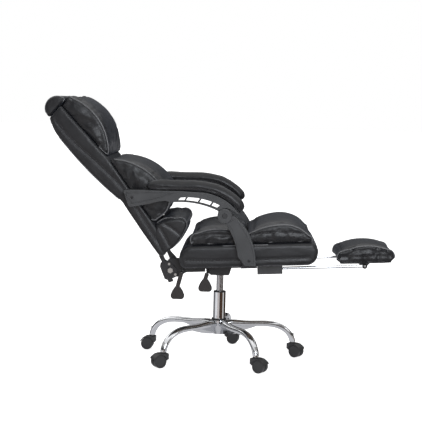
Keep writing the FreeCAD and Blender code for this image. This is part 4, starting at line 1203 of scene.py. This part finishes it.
@dataclass
class Hardware:
    """Small fasteners and trims on the arms and the mechanism.

    Args:
        screw: the head that every visible screw has.
        rear_screw: place of the screw at the arm's rear, in millimetres, on the left side.
        foot_screw: place of the screw at the link's foot.
        recess: the arm's recess, as (x, z) points in millimetres.
        recess_face: the arm's outer face along y.
        blade: the link's outline.
        blade_face: the link's outer face along y.
        rim_radius: of the moulded beads.
        ring_reach: the cylinder ring's distance from the column's axis.
        ring_radius: of the ring's own bead.
        ring_z: the ring's height.
    """

    screw: ScrewHead = field(default_factory=ScrewHead)
    rear_screw: Place = (-336.0, 297.5, 665.0)
    foot_screw: Place = (114.0, 298.0, 434.0)
    recess: Tuple[Point, ...] = (
        (-358.0, 670.0), (-360.0, 683.0), (-294.0, 686.5), (-170.0, 687.5), (-205.0, 676.0),
        (-246.0, 662.0), (-293.0, 651.0), (-337.0, 641.0))
    recess_face: float = 299.0
    blade: Tuple[Point, ...] = (
        (31.0, 575.0), (52.0, 545.0), (63.0, 510.0), (74.0, 470.0), (86.0, 440.0), (102.0, 420.0),
        (132.0, 420.0), (133.0, 446.0), (124.0, 484.0), (106.0, 528.0), (80.0, 566.0), (56.0, 596.0))
    blade_face: float = 298.0
    rim_radius: float = 0.0013
    ring_reach: float = 0.0136
    ring_radius: float = 0.0006
    ring_z: float = 0.322

    def build(self) -> List[bpy.types.Object]:
        """Returns the pieces."""
        made = [self.cylinder_ring()]
        for side, sign in (("left", 1.0), ("right", -1.0)):
            arm, link = side + "_armrest", side + "_link"
            for name, body, (x, y, z) in ((side + "_rear_screw", arm, self.rear_screw),
                                          (side + "_foot_screw", link, self.foot_screw)):
                made.append(self.screw.build(name, body, x, sign * y, z))
            made.append(self.rim(side + "_recess_rim", self.recess, sign * self.recess_face, arm))
            made.append(self.rim(side + "_blade_rim", self.blade, sign * self.blade_face, link))
        return made

    def rim(self, name: str, path: Tuple[Point, ...], y: float, body: str) -> bpy.types.Object:
        """Returns a moulded bead that runs round a closed path on a flat face."""
        places = [Vector((x * MM, y * MM, z * MM)) for x, z in spaced(path + path[:1], 9.0)]
        return cord_piece(name, [places], self.rim_radius, True, body, Look.ARM)

    def cylinder_ring(self) -> bpy.types.Object:
        """Returns the dark ring round the gas cylinder."""
        turns = [2.0 * math.pi * k / 24 for k in range(24)]
        reach = self.ring_reach
        places = [Vector((reach * math.cos(turn), reach * math.sin(turn), self.ring_z))
                  for turn in turns]
        return cord_piece("cylinder_ring", [places], self.ring_radius, True, "seat", Look.RING)


@dataclass
class Finishes:
    """Gives every CAD node that stays in view its finish."""

    def build(self) -> int:
        """Returns how many nodes were finished."""
        record = frame["record"]
        slot_of = {entry["node"]: entry["material_slot"] for entry in record["subparts"]}
        for name, node in frame["nodes"].items():
            look = Look.STEEL if name.endswith("knuckle_pin") else SLOT_LOOKS[slot_of[name]]
            node.data.materials.clear()
            node.data.materials.append(look.material())
        return len(frame["nodes"])


@dataclass
class Studio:
    """The floor, the lights, the cards that the gloss mirrors, and the camera.

    Args:
        camera_place: the camera's place.
        yaw: the camera's turn to the right of +Y, in degrees.
        pitch: its tilt upwards.
        roll: its roll.
        focal_pixels: its focal length in the picture's pixels.
        image_pixels: the picture's width.
        sky: brightness of the room at each of the sky_heights.
        sky_heights: the upward part of the direction, from the horizon up.
        middle: radius of the floor that the gloss shows as a grey card.
        floor_glow: the floor's own light.
        card_reach: distance of the upright cards.
        card_bottom: their lower edge.
        card_top: their upper edge.
        card_grey: brightness of the card on the floor.
        card_arcs: first and last angle in degrees and brightness of each upright card.
        lamps: name, place, aim, size, power and colour of each light.
    """

    camera_place: Place = (0.10016, -5.1013, 1.0487)
    yaw: float = -1.606
    pitch: float = -5.0815
    roll: float = 1.346
    focal_pixels: float = 1272.49
    image_pixels: float = 422.0
    sky: Tuple[float, ...] = (0.015, 0.02, 0.07, 0.15)
    sky_heights: Tuple[float, ...] = (0.0, 0.16, 0.34, 0.62)
    middle: float = 0.85
    floor_glow: float = 0.75
    card_reach: float = 4.6
    card_bottom: float = -1.6
    card_top: float = 0.7
    card_grey: Colour = (0.58, 0.58, 0.60)
    card_arcs: Tuple[Tuple[float, float, Colour], ...] = (
        (-176.0, -126.0, (0.90, 0.90, 0.92)), (-124.0, -88.0, (0.62, 0.56, 0.54)),
        (-76.0, -30.0, (0.075, 0.045, 0.030)), (-28.0, -2.0, (0.70, 0.68, 0.66)),
        (6.0, 50.0, (0.045, 0.028, 0.020)), (54.0, 84.0, (0.40, 0.40, 0.41)),
        (98.0, 178.0, (0.22, 0.22, 0.23)))
    lamps: Tuple[Tuple[str, Place, Place, float, float, Colour], ...] = (
        ("key", (-0.3, -1.0, 3.6), (0.0, 0.0, 0.5), 2.0, 3.5, (1.0, 0.985, 0.96)),
        ("front", (3.8, -1.6, 1.7), (-0.1, 0.0, 0.6), 1.2, 9.0, (1.0, 1.0, 1.0)),
        ("near", (0.8, -4.4, 1.6), (0.0, 0.0, 0.5), 1.4, 70.0, (0.90, 0.94, 1.0)),
        ("rear", (-2.8, 2.4, 2.8), (0.0, 0.0, 0.6), 1.6, 8.0, (1.0, 1.0, 1.0)))

    def build(self) -> None:
        """Makes the whole stage."""
        self.floor()
        self.world()
        self.cards()
        self.lights()
        self.camera()
        bpy.context.scene.view_settings.view_transform = "Standard"

    def floor(self) -> None:
        """A large pale floor. The chair's gloss shows a card in its place."""
        nodes = Nodes("floor_paper")
        nodes.colour(nodes.noise(0.6, 2.0), 0.3, 0.7, (0.93, 0.93, 0.93), (0.95, 0.95, 0.95))
        nodes.set(Roughness=0.9, Specular_IOR_Level=0.1, Emission_Color=(1.0, 1.0, 1.0, 1.0),
                  Emission_Strength=self.floor_glow)
        inner, outer = round_outline(self.middle, 0.0), round_outline(40.0, 0.0)
        count = len(inner)
        rim = [(k, count + k, count + (k + 1) % count, (k + 1) % count) for k in range(count)]
        for name, corners, faces in (("floor_middle", inner, [tuple(range(count))]),
                                     ("floor", inner + outer, rim)):
            self.staged(name, corners, faces, nodes.material).visible_glossy = False

    def staged(self, name: str, corners: Sequence[Place], faces: Sequence[Face],
               material: bpy.types.Material) -> bpy.types.Object:
        """Adds a mesh that belongs to the studio.

        Args:
            name: its name.
            corners: its vertices.
            faces: its faces.
            material: its finish.

        Returns:
            The object.
        """
        mesh = bpy.data.meshes.new(name)
        mesh.from_pydata(corners, [], faces)
        mesh.materials.append(material)
        obj = linked(name, mesh)
        return obj

    def world(self) -> None:
        """A white room behind the chair, and for its light a bright ceiling over a dark horizon."""
        world = bpy.data.worlds.new("room")
        world.use_nodes = True
        tree = world.node_tree
        ceiling = tree.nodes["Background"]
        place = tree.nodes.new("ShaderNodeTexCoord")
        split = tree.nodes.new("ShaderNodeSeparateXYZ")
        shade = tree.nodes.new("ShaderNodeValToRGB")
        stops = shade.color_ramp.elements
        stops[1].position = self.sky_heights[3]
        ordered = [stops[0], stops[1], stops.new(self.sky_heights[1]), stops.new(self.sky_heights[2])]
        for stop, level in zip(ordered, (self.sky[0], self.sky[3], self.sky[1], self.sky[2])):
            stop.color = (level, level, level, 1.0)
        room = tree.nodes.new("ShaderNodeBackground")
        seen = tree.nodes.new("ShaderNodeLightPath")
        mix = tree.nodes.new("ShaderNodeMixShader")
        tree.links.new(place.outputs["Generated"], split.inputs[0])
        tree.links.new(split.outputs["Z"], shade.inputs["Fac"])
        tree.links.new(shade.outputs["Color"], ceiling.inputs["Color"])
        tree.links.new(seen.outputs["Is Camera Ray"], mix.inputs[0])
        tree.links.new(ceiling.outputs[0], mix.inputs[1])
        tree.links.new(room.outputs[0], mix.inputs[2])
        tree.links.new(mix.outputs[0], tree.nodes["World Output"].inputs["Surface"])
        room.inputs["Color"].default_value = (1.0, 1.0, 1.0, 1.0)
        ceiling.inputs["Strength"].default_value = 1.0
        bpy.context.scene.world = world

    def cards(self) -> None:
        """Cards under and round the chair, light and dark, that only its gloss shows."""
        low = round_outline(self.middle, 0.0005)
        self.card("card_floor", self.card_grey, low, [tuple(range(len(low)))])
        steps = 8
        faces = [(2 * n, 2 * n + 2, 2 * n + 3, 2 * n + 1) for n in range(steps)]
        for k, (first, last, colour) in enumerate(self.card_arcs):
            corners = []
            for step in range(steps + 1):
                turn = math.radians(first + (last - first) * step / steps)
                x, y = math.cos(turn) * self.card_reach, math.sin(turn) * self.card_reach
                corners += [(x, y, self.card_bottom), (x, y, self.card_top)]
            self.card("card_%d" % k, colour, corners, faces)

    def card(self, name: str, colour: Colour, corners: Sequence[Place],
             faces: Sequence[Face]) -> None:
        """Adds one card.

        Args:
            name: its name.
            colour: its brightness.
            corners: its vertices.
            faces: its faces.
        """
        nodes = Nodes(name)
        nodes.set(Base_Color=(0.0, 0.0, 0.0, 1.0), Specular_IOR_Level=0.0,
                  Emission_Color=(*colour, 1.0), Emission_Strength=1.0)
        obj = self.staged(name, corners, faces, nodes.material)
        obj.visible_camera = False
        obj.visible_diffuse = False
        obj.visible_shadow = False

    def lights(self) -> None:
        """A large soft light overhead, one from the front and one from the near side."""
        for name, place, aim, size, power, colour in self.lamps:
            data = bpy.data.lights.new(name, "AREA")
            data.shape = "SQUARE"
            data.size = size
            data.energy = power
            data.color = colour
            obj = linked(name, data)
            obj.location = place
            obj.rotation_euler = (Vector(aim) - Vector(place)).to_track_quat("-Z", "Y").to_euler()
            obj.visible_camera = False

    def camera(self) -> None:
        """The camera at the photograph's viewpoint."""
        yaw, pitch, roll = (math.radians(v) for v in (self.yaw, self.pitch, self.roll))
        level = math.cos(pitch)
        ahead = Vector((math.sin(yaw) * level, math.cos(yaw) * level, math.sin(pitch)))
        right = Vector((math.cos(yaw), -math.sin(yaw), 0.0))
        up = right.cross(ahead)
        turned_right = right * math.cos(roll) + up * math.sin(roll)
        turned_up = up * math.cos(roll) - right * math.sin(roll)
        rotation = Matrix((turned_right, turned_up, -ahead)).transposed().to_4x4()
        data = bpy.data.cameras.new("camera")
        data.sensor_width = 36.0
        data.lens = self.focal_pixels / self.image_pixels * data.sensor_width
        data.clip_end = 100.0
        obj = linked("camera", data)
        obj.matrix_world = Matrix.Translation(self.camera_place) @ rotation
        bpy.context.scene.camera = obj


def round_outline(radius: float, z: float) -> List[Place]:
    """Returns 64 points of a level circle about the column's axis."""
    turns = [2.0 * math.pi * k / 64 for k in range(64)]
    return [(radius * math.cos(turn), radius * math.sin(turn), z) for turn in turns]


def main() -> None:
    """Builds every sub-assembly and reports its pieces."""
    logging.basicConfig(level=logging.INFO, format="%(name)s: %(message)s")
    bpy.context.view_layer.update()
    log.info("finishes: %d nodes", Finishes().build())
    for assembly in (SeatCushions(), BackCushions(), ArmPads(), FootrestPad(), Hardware()):
        pieces = assembly.build()
        log.info("%s: %d pieces, %d faces", type(assembly).__name__, len(pieces),
                 sum(len(piece.data.polygons) for piece in pieces))
    Studio().build()


if __name__ == "__main__":
    main()
